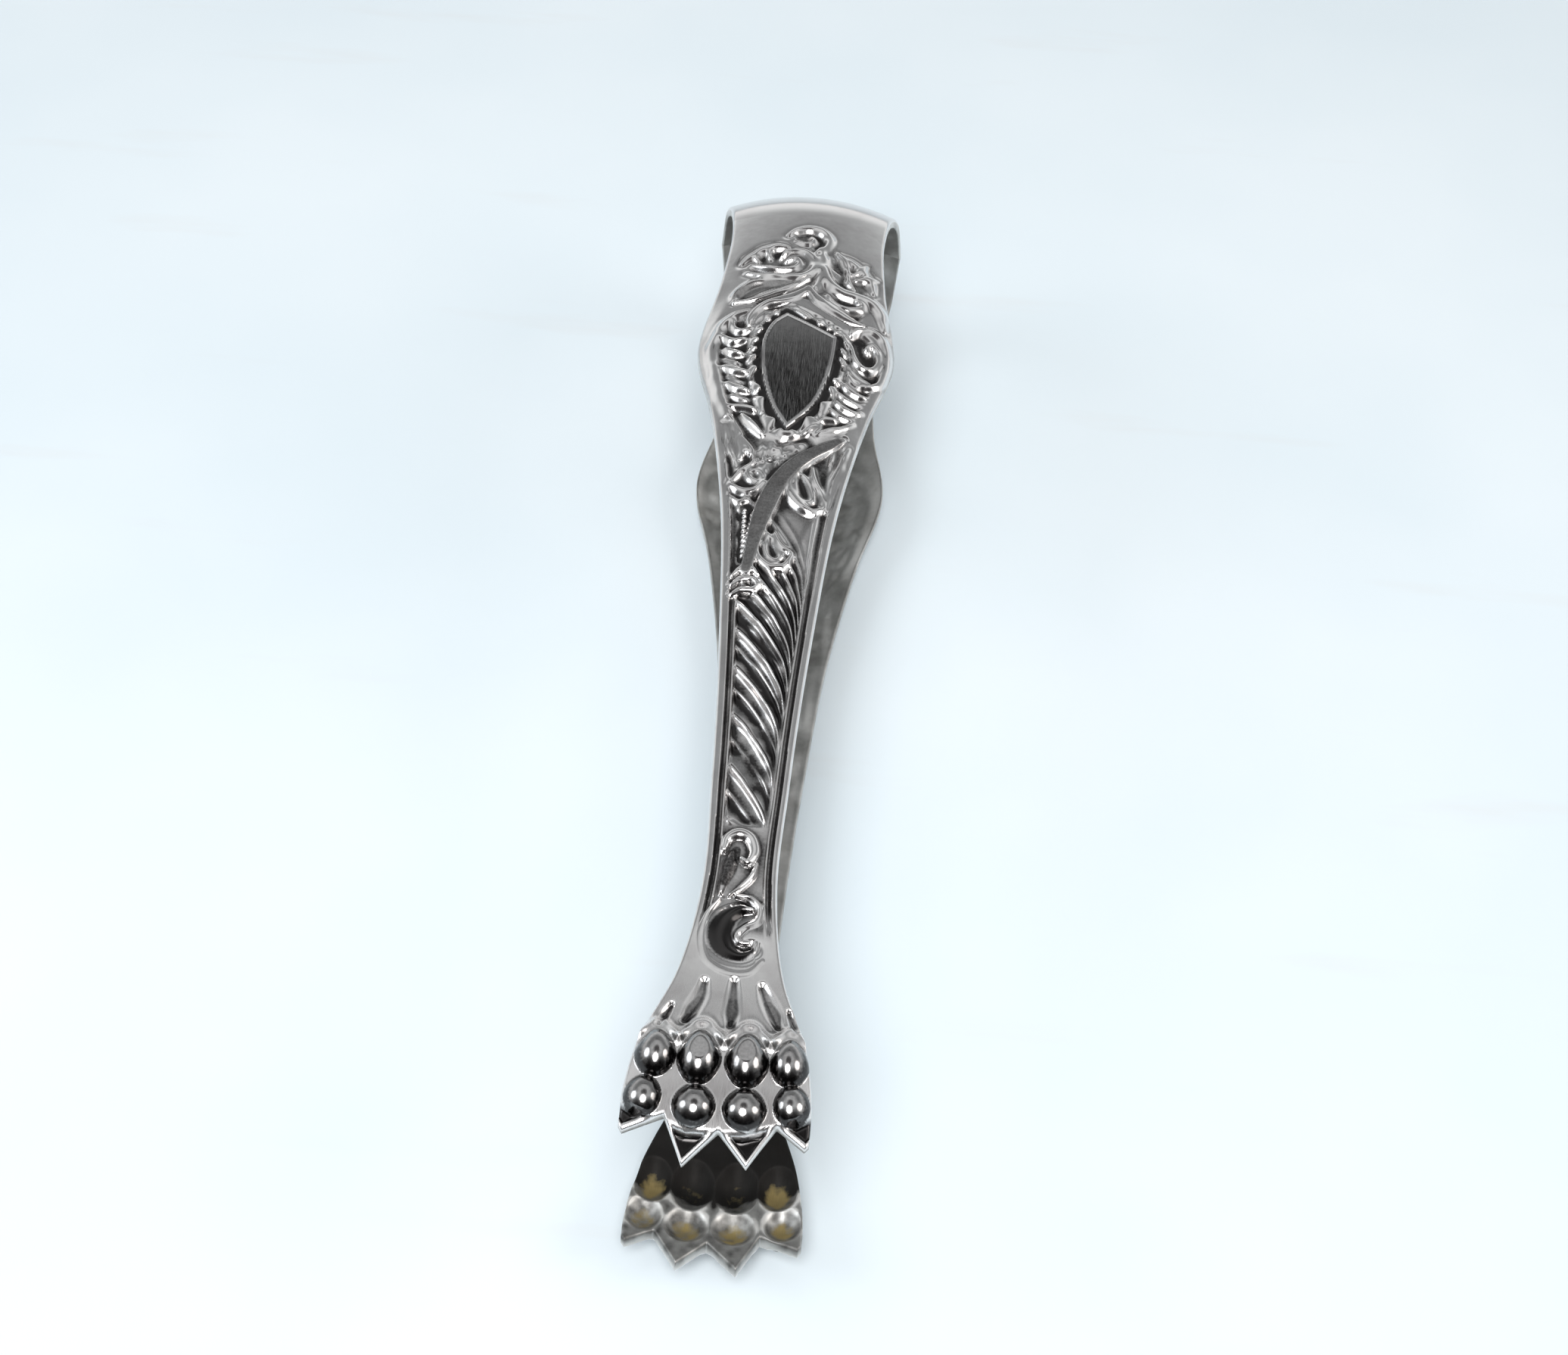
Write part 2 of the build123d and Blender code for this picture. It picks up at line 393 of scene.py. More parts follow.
# carved lines, each as (level, section, [(x, v, half width), ...]) in the order they are cut
scrolls = dict(
    # the sunk ground that the work stands out of
    ground=[
        (-0.52, "flat", [
            (-6.2, 99.5, 1.6), (-6.6, 96.0, 2.2), (-6.0, 91.0, 2.6), (-4.6, 87.0, 2.2), (-3.6, 84.0, 1.6),
        ]),
        (-0.5, "flat", [
            (6.3, 98.0, 2.2), (6.9, 95.0, 2.6), (5.8, 91.0, 2.6), (5.0, 88.0, 2.2), (4.6, 85.0, 1.3),
        ]),
        (-0.45, "flat", [(-3.4, 112.2, 1.6), (-3.6, 109.8, 2.6), (-3.4, 106.4, 1.9), (-3.2, 103.6, 1.8)]),
        (-0.34, "flat", [(3.9, 110.6, 1.2), (5.6, 109.4, 2.3), (4.9, 105.6, 1.7), (5.3, 102.9, 1.6)]),
        (-0.34, "flat", [(-0.6, 115.2, 0.9), (0.7, 115.0, 1.7), (1.6, 113.6, 1.0)]),
        (-0.62, "flat", [
            (-4.4, 82.5, 1.5), (-2.4, 80.6, 2.2), (-2.6, 77.4, 2.3), (-3.0, 74.0, 1.6), (-3.1, 70.0, 1.0),
        ]),
        (-0.6, "flat", [
            (1.6, 82.2, 1.6), (3.2, 79.0, 1.8), (2.3, 75.5, 2.2), (1.0, 71.0, 2.2), (0.4, 67.0, 2.0),
        ]),
    ],
    # the top curl, the scroll, the stem that sweeps to the right, and the two leaf clusters
    crest=[
        (0.34, "soft", [
            (1.5, 112.8, 0.7), (2.0, 111.0, 1.0), (1.9, 109.0, 1.1), (1.9, 107.2, 1.15),
            (1.4, 105.8, 0.95), (0.8, 104.7, 0.5),
        ]),
        (0.42, "round", [
            (-2.2, 115.2, 0.3), (-1.3, 116.2, 0.5), (0.2, 116.7, 0.62), (1.6, 116.2, 0.68),
            (2.5, 114.9, 0.72), (2.2, 113.3, 0.7), (1.3, 112.2, 0.5),
        ]),
        (0.3, "round", [(-1.2, 114.1, 0.3), (0.1, 113.7, 0.5), (0.8, 114.5, 0.5), (0.4, 115.3, 0.3)]),
        (0.26, "soft", [
            (-1.9, 112.9, 0.4), (-3.2, 113.1, 1.0), (-4.6, 112.6, 1.1), (-6.0, 111.6, 0.9),
            (-7.0, 110.3, 0.4),
        ]),
        (0.3, "round", [(-3.0, 113.4, 0.3), (-3.9, 112.6, 0.42), (-3.8, 111.4, 0.3)]),
        (0.3, "round", [(-5.1, 112.6, 0.3), (-5.6, 111.6, 0.4), (-5.1, 110.7, 0.3)]),
        (0.44, "round", [
            (-6.4, 108.6, 0.3), (-4.4, 107.9, 0.55), (-2.1, 107.5, 0.66), (-0.3, 107.7, 0.7),
            (0.9, 108.8, 0.74), (1.15, 110.4, 0.74), (0.4, 111.8, 0.66), (-0.8, 112.3, 0.55),
            (-2.0, 112.0, 0.42), (-2.6, 111.2, 0.25),
        ]),
        (0.4, "round", [
            (-6.0, 110.0, 0.3), (-4.2, 109.4, 0.5), (-2.5, 109.0, 0.56), (-1.1, 109.2, 0.56),
            (-0.5, 110.1, 0.54), (-1.0, 110.9, 0.44), (-2.0, 110.6, 0.3),
        ]),
        (0.44, "round", [
            (2.1, 109.3, 0.6), (2.8, 107.4, 0.85), (4.1, 106.1, 0.95), (5.7, 105.7, 0.98),
            (7.2, 105.5, 0.98), (8.4, 104.4, 0.9), (8.95, 102.9, 0.7), (9.2, 101.4, 0.3),
        ]),
        (0.42, "round", [
            (2.7, 105.1, 0.3), (3.5, 103.8, 0.6), (4.8, 103.3, 0.7), (6.1, 103.6, 0.66),
            (6.7, 104.4, 0.5), (5.9, 104.9, 0.26),
        ]),
        (0.24, "soft", [
            (3.4, 112.2, 0.4), (4.9, 111.6, 1.1), (6.3, 110.4, 1.2), (7.3, 108.8, 1.0), (7.7, 107.2, 0.5),
        ]),
        (0.38, "round", [(3.2, 112.7, 0.25), (4.1, 111.5, 0.5), (4.7, 110.2, 0.4), (4.8, 109.0, 0.3)]),
        (0.36, "round", [(6.7, 111.6, 0.25), (6.1, 110.4, 0.5), (5.3, 109.4, 0.3)]),
        (0.34, "round", [(8.0, 109.6, 0.25), (6.9, 109.2, 0.5), (5.6, 108.8, 0.3)]),
        (0.3, "round", [(5.5, 106.9, 0.25), (5.0, 107.9, 0.45), (4.9, 108.7, 0.3)]),
    ],
    # the roof over the shield and the bright lip of the lobe above it
    roof=[
        (0.34, "round", [
            (-7.2, 103.5, 0.3), (-5.3, 103.8, 0.45), (-3.1, 104.8, 0.5), (-1.0, 106.0, 0.5),
            (0.6, 107.4, 0.3),
        ]),
        (0.4, "round", [
            (0.7, 105.6, 0.5), (-0.5, 104.5, 0.75), (-2.0, 103.7, 0.78), (-3.6, 103.0, 0.72),
            (-4.8, 101.8, 0.62), (-5.3, 100.4, 0.5), (-5.2, 99.4, 0.25),
        ]),
        (0.4, "round", [
            (0.7, 105.6, 0.5), (1.9, 104.0, 0.78), (3.9, 102.5, 0.85), (5.6, 101.5, 0.72),
            (6.9, 101.0, 0.35),
        ]),
    ],
    # the long scroll down the left of the shield, its ribbed fan, and the low petals
    leftSide=[
        (0.3, "soft", [
            (-5.2, 102.2, 0.35), (-6.9, 101.6, 0.75), (-8.3, 99.8, 0.95), (-8.8, 97.2, 1.05),
            (-8.65, 94.4, 1.1), (-8.05, 91.6, 1.1), (-7.25, 88.9, 1.05), (-6.35, 86.2, 0.9),
            (-5.4, 83.9, 0.7), (-4.5, 82.0, 0.5), (-3.6, 80.6, 0.25),
        ]),
        (0.3, "round", [(-7.1, 100.8, 0.25), (-6.7, 99.5, 0.4), (-5.8, 98.9, 0.44), (-5.0, 99.4, 0.3)]),
        (0.34, "round", [(-7.9, 98.6, 0.25), (-6.7, 97.4, 0.6), (-5.5, 97.6, 0.34)]),
        (0.28, "round", [(-7.5, 96.4, 0.3), (-6.5, 95.6, 0.55), (-5.5, 95.3, 0.3)]),
        (0.06, "soft", [(-7.4, 95.0, 0.3), (-6.4, 94.2, 0.5), (-5.7, 93.9, 0.25)]),
        (0.32, "round", [(-7.4, 93.7, 0.4), (-6.2, 92.9, 0.72), (-4.9, 92.5, 0.4)]),
        (0.04, "soft", [(-6.9, 92.2, 0.25), (-5.9, 91.4, 0.42), (-5.1, 91.1, 0.2)]),
        (0.28, "round", [(-6.8, 91.0, 0.35), (-5.6, 90.1, 0.66), (-4.5, 89.7, 0.36)]),
        (0.08, "soft", [(-6.2, 89.3, 0.25), (-5.2, 88.7, 0.42), (-4.4, 88.5, 0.25)]),
        (0.3, "round", [(-6.2, 87.5, 0.42), (-5.0, 87.3, 0.46), (-3.7, 86.8, 0.38)]),
        (0.24, "soft", [(-4.9, 86.2, 0.3), (-4.2, 85.3, 0.6), (-3.4, 84.3, 0.6), (-2.6, 83.3, 0.3)]),
        (0.18, "soft", [(-5.9, 85.0, 0.2), (-5.0, 83.4, 0.4), (-4.1, 82.2, 0.4), (-3.2, 80.8, 0.2)]),
    ],
    # the volute on the right, the lines that leave it, its fan, and the low petals
    rightSide=[
        (0.42, "round", [
            (5.7, 99.2, 0.25), (6.5, 100.4, 0.44), (7.9, 100.8, 0.54), (9.1, 99.8, 0.58),
            (9.6, 97.7, 0.6), (9.6, 95.3, 0.6), (9.0, 93.2, 0.56), (8.1, 92.2, 0.46), (7.1, 92.0, 0.25),
        ]),
        (0.42, "round", [
            (5.6, 98.2, 0.3), (6.15, 96.0, 0.52), (7.2, 94.6, 0.58), (8.2, 94.8, 0.54),
            (8.75, 96.0, 0.48), (8.65, 97.5, 0.42), (8.1, 98.5, 0.38), (7.5, 98.1, 0.32),
            (7.7, 97.3, 0.2),
        ]),
        (0.1, "round", [(5.6, 95.0, 0.15), (6.7, 93.5, 0.25), (8.1, 92.9, 0.18)]),
        (0.08, "round", [(5.4, 94.0, 0.15), (6.4, 92.8, 0.25), (7.6, 92.3, 0.18)]),
        (0.22, "round", [(5.5, 93.2, 0.2), (6.1, 92.2, 0.45), (6.9, 91.6, 0.3)]),
        (0.26, "round", [(5.2, 91.9, 0.25), (6.0, 91.0, 0.56), (7.0, 90.5, 0.5), (7.8, 90.5, 0.25)]),
        (0.12, "round", [(4.9, 90.4, 0.2), (5.7, 89.7, 0.4), (6.9, 89.3, 0.36), (7.6, 89.4, 0.2)]),
        (0.24, "round", [(4.6, 89.2, 0.25), (5.5, 88.3, 0.52), (6.7, 87.8, 0.46), (7.4, 88.0, 0.22)]),
        (0.12, "round", [(4.2, 87.9, 0.2), (5.3, 87.0, 0.38), (6.6, 86.7, 0.28)]),
        (0.24, "soft", [(2.6, 85.4, 0.35), (3.6, 86.1, 0.6), (4.8, 86.3, 0.4)]),
        (0.26, "soft", [(3.2, 83.8, 0.35), (4.6, 84.6, 0.8), (5.9, 85.4, 0.6), (6.8, 86.2, 0.25)]),
        (0.16, "soft", [(1.3, 83.5, 0.25), (2.2, 84.2, 0.5), (3.0, 84.9, 0.3)]),
    ],
    # the small work beside the long plain leaf
    sweep=[
        (0.05, "round", [(-5.1, 76.8, 0.25), (-4.1, 78.2, 0.42), (-3.0, 79.5, 0.25)]),
        (0.08, "round", [(-5.3, 76.3, 0.3), (-4.2, 75.4, 0.58), (-2.8, 75.3, 0.58), (-1.8, 76.5, 0.3)]),
        (-0.05, "round", [(-5.0, 74.6, 0.2), (-4.2, 73.9, 0.4), (-3.2, 74.2, 0.3)]),
        (-0.05, "soft", [(-6.5, 85.2, 0.2), (-5.8, 81.8, 0.4), (-4.8, 79.0, 0.3)]),
        (-0.08, "soft", [(-4.7, 83.0, 0.2), (-3.5, 81.2, 0.4), (-3.1, 79.6, 0.25)]),
        (-0.02, "soft", [(6.5, 82.6, 0.3), (5.7, 79.6, 0.75), (5.0, 76.6, 0.65), (4.6, 73.4, 0.3)]),
        (-0.05, "soft", [(2.9, 79.2, 0.2), (3.4, 77.0, 0.52), (4.3, 75.2, 0.46), (4.6, 73.9, 0.2)]),
        (0.08, "round", [
            (0.4, 77.8, 0.25), (0.7, 75.8, 0.52), (1.7, 74.1, 0.7), (3.1, 73.1, 0.62), (4.2, 73.5, 0.3),
        ]),
        (-0.05, "soft", [(-0.2, 69.8, 0.18), (0.6, 68.1, 0.48), (1.9, 67.0, 0.36)]),
        (0.08, "round", [
            (-1.9, 68.2, 0.2), (-1.5, 66.3, 0.5), (-0.3, 65.2, 0.64), (1.1, 65.4, 0.56),
            (1.8, 66.7, 0.25),
        ]),
    ],
    # the long plain leaf, and the three folds at its end
    blade=[
        (0.06, "flat", [
            (5.8, 83.6, 0.4), (4.3, 82.2, 0.8), (2.5, 80.6, 1.05), (0.9, 78.7, 1.2), (-0.4, 76.3, 1.35),
            (-1.3, 73.4, 1.4), (-1.9, 70.4, 1.2), (-2.25, 67.8, 0.9), (-2.45, 65.8, 0.8),
            (-2.6, 64.4, 0.75),
        ]),
        (0.06, "round", [(-3.9, 63.7, 0.2), (-3.1, 64.7, 0.46), (-2.1, 64.8, 0.4), (-1.4, 64.0, 0.2)]),
        (0.06, "round", [(-3.9, 62.5, 0.2), (-3.0, 63.4, 0.46), (-1.9, 63.4, 0.4), (-1.2, 62.6, 0.2)]),
        (0.06, "round", [(-3.8, 61.3, 0.2), (-2.9, 62.0, 0.46), (-1.7, 62.1, 0.4), (-1.0, 62.9, 0.2)]),
    ],
    # the drop-shaped leaf and the bold scroll at the ankle
    ankle=[
        (-0.42, "soft", [(-0.6, 32.4, 1.5), (-0.8, 30.4, 1.7), (-1.0, 28.6, 1.3), (-1.3, 26.8, 0.5)]),
        (0.12, "round", [
            (-1.7, 31.4, 0.3), (-1.5, 32.7, 0.55), (-0.5, 33.4, 0.7), (0.6, 32.9, 0.66),
            (1.05, 31.5, 0.6), (0.6, 30.3, 0.46), (-0.1, 30.6, 0.3),
        ]),
        (0.0, "soft", [(-0.9, 31.2, 0.4), (-1.1, 29.9, 0.8), (-1.4, 28.4, 0.6), (-1.6, 26.9, 0.3)]),
        (0.0, "soft", [(1.4, 30.2, 0.3), (1.0, 28.9, 0.5), (0.1, 27.6, 0.45), (-0.8, 26.7, 0.2)]),
        (-0.5, "soft", [
            (0.6, 25.3, 1.6), (-0.6, 23.8, 2.2), (-0.5, 21.6, 2.3), (0.8, 20.7, 1.8), (1.6, 21.0, 1.2),
        ]),
        (0.05, "soft", [
            (1.3, 25.3, 0.45), (0.2, 25.3, 0.9), (-0.9, 24.3, 1.3), (-1.3, 22.6, 1.5), (-0.7, 21.0, 1.45),
            (0.6, 20.3, 1.15), (1.7, 20.8, 0.7), (2.0, 21.7, 0.35),
        ]),
        (0.02, "soft", [
            (-0.2, 26.7, 0.25), (1.2, 26.5, 0.5), (2.1, 25.4, 0.55), (1.9, 24.1, 0.52), (0.9, 23.4, 0.5),
            (0.2, 22.6, 0.45), (0.5, 21.8, 0.4), (1.3, 21.7, 0.25),
        ]),
        (0.05, "round", [
            (-1.6, 26.2, 0.15), (-2.65, 24.4, 0.3), (-2.9, 21.9, 0.32), (-2.2, 19.6, 0.34),
            (-0.3, 18.4, 0.36), (1.6, 18.5, 0.34), (2.7, 19.9, 0.2),
        ]),
    ],
)
# (darkness, path) of the dark bands painted along the work
darkBands = [
    (0.6, [
        (5.2, 83.0, 0.7), (2.5, 80.6, 1.0), (0.0, 77.3, 1.2), (-1.3, 73.4, 1.3), (-1.9, 70.4, 1.1),
        (-2.3, 67.4, 0.8), (-2.6, 64.6, 0.6),
    ]),
    (0.5, [(-6.6, 105.2, 0.9), (-4.6, 105.9, 1.3), (-2.4, 106.3, 0.8), (-0.4, 106.5, 0.3)]),
    (0.9, [
        (0.4, 25.1, 0.6), (-0.8, 24.2, 1.2), (-1.3, 22.6, 1.4), (-0.7, 21.1, 1.35), (0.5, 20.5, 1.0),
        (1.5, 20.9, 0.5),
    ]),
    (0.75, [(-0.6, 31.6, 0.6), (-1.0, 29.8, 1.0), (-1.4, 28.0, 0.6)]),
    (0.6, [(-2.3, 15.6, 0.5), (-2.8, 14.4, 0.7), (-3.3, 13.2, 0.4)]),
    (0.6, [(0.5, 15.6, 0.5), (0.55, 14.2, 0.7), (0.5, 12.9, 0.4)]),
    (0.6, [(3.5, 15.6, 0.5), (4.1, 14.4, 0.7), (4.5, 13.2, 0.4)]),
]

leaves = [
    # the long lobe over the left of the shield
    dict(edges=[[
        (0.9, 107.0), (-0.8, 107.2), (-2.6, 107.2), (-4.6, 107.6), (-6.5, 106.8), (-7.6, 104.9),
        (-7.2, 103.4), (-5.4, 103.5), (-3.2, 104.7), (-1.0, 105.8), (0.9, 107.0),
    ]], level=0.1, lip=0.22, dish=0.65),
    # the cups of the two curls beside the plain leaf, and the small one on the left
    dict(edges=[[
        (1.3, 78.6), (0.8, 76.8), (1.2, 75.0), (2.4, 74.0), (3.7, 74.3), (3.4, 76.2), (2.6, 78.0),
        (1.3, 78.6),
    ]], level=-0.2, lip=0.1, dish=0.6),
    dict(edges=[[
        (-0.8, 70.2), (-1.4, 68.2), (-1.0, 66.4), (0.2, 65.7), (1.2, 66.5), (0.6, 68.4), (-0.8, 70.2),
    ]], level=-0.2, lip=0.1, dish=0.6),
    dict(edges=[[
        (-4.2, 78.0), (-3.4, 76.6), (-2.1, 76.2), (-1.6, 77.3), (-2.6, 78.6), (-4.2, 78.0),
    ]], level=-0.2, lip=0.08, dish=0.6),
    # the pointed leaf that runs up the left rim
    dict(edges=[[
        (-6.6, 86.0), (-6.1, 82.5), (-5.0, 79.3), (-4.0, 80.4), (-4.3, 83.0), (-5.3, 85.3), (-6.6, 86.0),
    ]], level=-0.2, lip=0.08, dish=0.3),
]

flutes = dict(
    low=34.2, high=66.0, lowFade=1.2, highFade=8.0, slantTop=1.5, inset=1.4, insetFade=0.5, level=-0.74,
    # the run of a flute: it starts at the panel's left edge, rises across it, and hooks up at the right
    leftEdge=-2.2, slant=1.05, sag=0.1, hook=1.9, hookAt=0.62, hookWidth=0.09,
    pitches=[(30, 5.3), (50, 5.3), (60, 2.9), (90, 2.9)],
    ridge=0.46, ridgeWidth=0.42, minor=0.24, minorWidth=0.3, minorAt=0.42, wave=0.2, rough=0.11,
)


def cutFlutes(field):
    # slanting flutes down the shank: each place is followed up its flute to the left edge of
    # the panel, and the ridges stand where whole pitches are counted along that edge
    f = flutes
    x, v = field["x"], field["v"]
    inwards = x - f["leftEdge"]
    hook = f["hook"] * np.exp((x / field["w"] - f["hookAt"]) / f["hookWidth"])
    start = v + f["slant"] * inwards + f["sag"] * np.clip(inwards, 0, None) ** 2 + hook
    places = np.linspace(f["pitches"][0][0], f["pitches"][-1][0], 600)
    pitches = through(f["pitches"], places)
    count = np.interp(start, places, np.cumsum((places[1] - places[0]) / pitches))
    pitch = np.interp(start, places, pitches)
    minorCount = count + f["minorAt"]
    main = np.abs(count - np.round(count)) * pitch
    minor = np.abs(minorCount - np.round(minorCount)) * pitch
    uneven = grain(x, v, 2.3, 12)
    strong = f["ridge"] * (1 + 0.3 * uneven) * np.exp(-((main / f["ridgeWidth"]) ** 2))
    weak = f["minor"] * np.clip(0.8 + 1.1 * uneven, 0, 1.6) * np.exp(-((minor / f["minorWidth"]) ** 2))
    wave = f["wave"] * np.cos(2 * math.pi * (count + 0.06 * uneven)) + f["rough"] * grain(x, v, 1.2, 11)
    edge = field["w"] - np.abs(x)
    inPanel = ease(f["inset"], f["inset"] + f["insetFade"], edge)
    inPanel = inPanel * ease(f["low"], f["low"] + f["lowFade"], v)
    inPanel = inPanel * (1 - ease(f["high"], f["high"] + f["highFade"], v + f["slantTop"] * x))
    field["h"] += (f["level"] + wave + np.maximum(strong, weak) - field["h"]) * inPanel


# the matted ground under the shield: random pits of two sizes inside its outline
stipple = dict(
    edge=[
        (-3.0, 82.8), (-0.6, 82.3), (1.8, 82.7), (2.2, 81.6), (0.6, 80.3), (-1.0, 78.3), (-2.2, 76.4),
        (-2.9, 78.6), (-3.0, 82.8),
    ],
    level=-0.42, fine=0.16, finePitch=0.34, coarse=0.1, coarsePitch=0.62, fade=0.3,
)


def setStipple(field):
    # pits of two sizes added to a sunk level, by how deep the place is inside the outline
    s = stipple
    ring = outlineOf(s["edge"])
    near = within(field, ring)
    if not len(near):
        return
    x, v = field["x"][near], field["v"][near]
    depth, _ = insideOf(x, v, ring)
    pits = s["fine"] * grain(x, v, s["finePitch"], 3) + s["coarse"] * grain(x, v, s["coarsePitch"], 4)
    field["h"][near] += (s["level"] + pits - field["h"][near]) * ease(0.0, s["fade"], depth)


beads = dict(
    first=(-3.36, 72.6), last=(-3.14, 66.6), count=10, radius=0.3, level=-0.14, channel=0.62, channelEnd=0.55,
    channelLevel=-0.6, overrun=0.6,
)


def setBeads(field):
    # a sunk channel with a row of round beads in it
    b = beads
    (x0, v0), (x1, v1) = b["first"], b["last"]
    middle = (0.5 * (x0 + x1), 0.5 * (v0 + v1), b["channel"])
    ends = (x0, v0 + b["overrun"], b["channel"]), (x1, v1 - b["overrun"], b["channelEnd"])
    carve(field, [ends[0], middle, ends[1]], b["channelLevel"], "flat")
    for t in np.linspace(0, 1, b["count"]):
        cx, cv = x0 + (x1 - x0) * t, v0 + (v1 - v0) * t
        gap = np.hypot(field["x"] - cx, field["v"] - cv) / b["radius"]
        share = sections["round"](np.clip(gap, 0, 1))
        field["h"] += (b["level"] - field["h"]) * share


toes = dict(
    # (x, v, half width, half length, rise) of the knuckles of both rows
    first=[
        (-5.5, 9.4, 1.88, 2.4, 2.05), (-1.8, 9.2, 1.98, 2.7, 2.2), (2.25, 9.2, 1.98, 2.7, 2.2),
        (5.85, 9.35, 1.8, 2.4, 2.05),
    ],
    second=[
        (-6.2, 5.5, 1.75, 1.95, 1.65), (-1.85, 4.85, 1.98, 1.95, 1.8), (2.4, 4.85, 1.98, 1.95, 1.8),
        (6.3, 5.6, 1.7, 1.95, 1.65),
    ],
    firstNarrow=0.34, secondNarrow=0.12, backNarrow=0.1,
    # share of the half width at the claw tips and notches, and how far each is from the tips
    clawLine=[
        (-1.0, 3.0), (-0.96, 2.5), (-0.53, 4.0), (-0.304, 0.0), (0.05, 2.95), (0.37, 0.2), (0.65, 3.75),
        (0.96, 2.1), (1.0, 2.5),
    ],
    grooves=[
        [(-2.1, 17.3, 0.6), (-2.25, 15.9, 0.95), (-2.8, 14.4, 1.0), (-3.4, 13.2, 0.6)],
        [(0.45, 17.5, 0.6), (0.5, 15.9, 0.9), (0.55, 14.2, 1.0), (0.5, 12.9, 0.6)],
        [(2.9, 17.2, 0.6), (3.4, 15.9, 0.95), (4.1, 14.4, 1.0), (4.6, 13.2, 0.6)],
        [(-4.7, 14.7, 0.4), (-5.1, 13.7, 0.62), (-5.6, 12.5, 0.45)],
        [(5.4, 14.9, 0.35), (5.8, 13.9, 0.55), (6.2, 12.8, 0.4)],
    ],
    # how far the sunk part of a claw reaches up from the tips, by share of the half width
    clawTop=[(0, 2.75), (0.3, 2.75), (0.62, 3.6), (0.85, 4.2), (1, 5.0)],
    grooveLevel=-0.36, web=0.5, webFrom=11.2, webTo=12.6, brow=0.42, browOut=0.75, browWidth=0.5,
    # painted shade: how dark the knuckle tops and their flanks are painted, and on the next line, the claw
    # hollows
    ballShape=0.6, ballPaintedShade=0.42, flankPaintedShade=0.85, clawRimFrom=0.3, clawRimTo=0.6, clawRim=0.2,
    clawSunk=-0.35, clawPaintedShade=0.9, clawSlant=0.62, bar=0.35, barWidth=0.3,
    # how far the plate is worn through behind each knuckle
    firstWorn=(0.9, 0.25, 0.25, 0.8), secondWorn=(0.8, 1.0, 1.0, 0.8),
)


def eggDistance(x, v, knuckle, narrow):
    # 0 at the top of a knuckle and 1 round its foot: an ellipse, narrower on the ankle side
    cx, cv, wide, tall, _ = knuckle
    up = np.clip((v - cv) / tall, 0, 1)
    return np.hypot((x - cx) / (wide * (1 - narrow * up)), (v - cv) / tall)


def straight(points, at):
    # straight lines through (place, value) points
    place, value = np.transpose(points)
    return np.interp(at, place, value)


def clawEnd(x, w):
    # where the sheet ends at the claws, from the tips
    return straight(toes["clawLine"], x / w)


def shapeFoot(field):
    # grooves down the instep, then smooth raised ground with a brow over each toe, glossy
    # knuckles that stand out of it with painted shade on them, and sunk claws with painted shade inside
    # bright rims
    s = toes
    x, v = field["x"], field["v"]
    for line in s["grooves"]:
        carve(field, line, s["grooveLevel"], "soft")
    field["h"] += (s["web"] - field["h"]) * (1 - ease(s["webFrom"], s["webTo"], v))
    for row in ("first", "second"):
        for knuckle in s[row]:
            _, cv, wide, tall, rise = knuckle
            q = eggDistance(x, v, knuckle, s[row + "Narrow"])
            if row == "first":
                away = (q - 1) * 0.5 * (wide + tall)
                over = ease(cv + 0.6, cv + 1.8, v)
                field["h"] += s["brow"] * over * np.exp(-(((away - s["browOut"]) / s["browWidth"]) ** 2))
            ball = np.where(q < 1, rise * np.maximum(1 - q * q, 0) ** s["ballShape"], -9)  # none outside
            stands = ease(-0.1, 0.1, ball - field["h"])
            field["h"] = np.maximum(field["h"], ball)
            # painted shade: each knuckle is darkened all over, most on its flanks, for the dark room it would
            # mirror
            flank = s["ballPaintedShade"] + (s["flankPaintedShade"] - s["ballPaintedShade"]) * ease(0.42, 0.8, q)
            field["shade"] = np.maximum(field["shade"], flank * stands)
    fromEdge = (v - clawEnd(x, field["w"])) * s["clawSlant"]
    top = straight(s["clawTop"], np.abs(x / field["w"]))
    claw = 1 - ease(top - 0.2, top + 0.2, v)
    rim = 1 - ease(s["clawRimFrom"], s["clawRimTo"], fromEdge)
    level = s["clawSunk"] * (1 - rim) + s["clawRim"] * rim
    field["h"] += (level - field["h"]) * claw
    bar = np.exp(-(((v - top - 0.05) / s["barWidth"]) ** 2))
    field["h"] += (np.maximum(field["h"], s["bar"]) - field["h"]) * bar
    # painted shade in the sunk middle of each claw, for the dark room it would mirror; the rims and the bar
    # stay bright
    field["shade"] = np.maximum(field["shade"], s["clawPaintedShade"] * claw * (1 - rim) * (1 - bar))


def blur(values, rowsWide, columnsWide):
    # a moving mean along the rows and then the columns, three times over
    for axis, wide in ((0, rowsWide), (1, columnsWide)):
        half = max(1, int(round(wide)))
        for _ in range(3):
            padded = np.pad(values, [(half, half) if k == axis else (0, 0) for k in (0, 1)], mode="edge")
            total = np.cumsum(padded, axis=axis)
            total = np.concatenate([np.zeros_like(np.take(total, [0], axis)), total], axis)
            count = values.shape[axis]
            upper = np.take(total, np.arange(count) + 2 * half + 1, axis)
            lower = np.take(total, np.arange(count), axis)
            values = (upper - lower) / (2 * half + 1)
    return values


# the hand of the die cutter: how far lines wander and how uneven the raised work is, over
# what lengths, the grid steps that wear softens, and where along the strip all this fades in
hand = dict(wander=0.1, wanderPitch=1.9, uneven=0.06, unevenPitch=1.2, wornBy=1, freeFrom=58.0, freeTo=66.0)


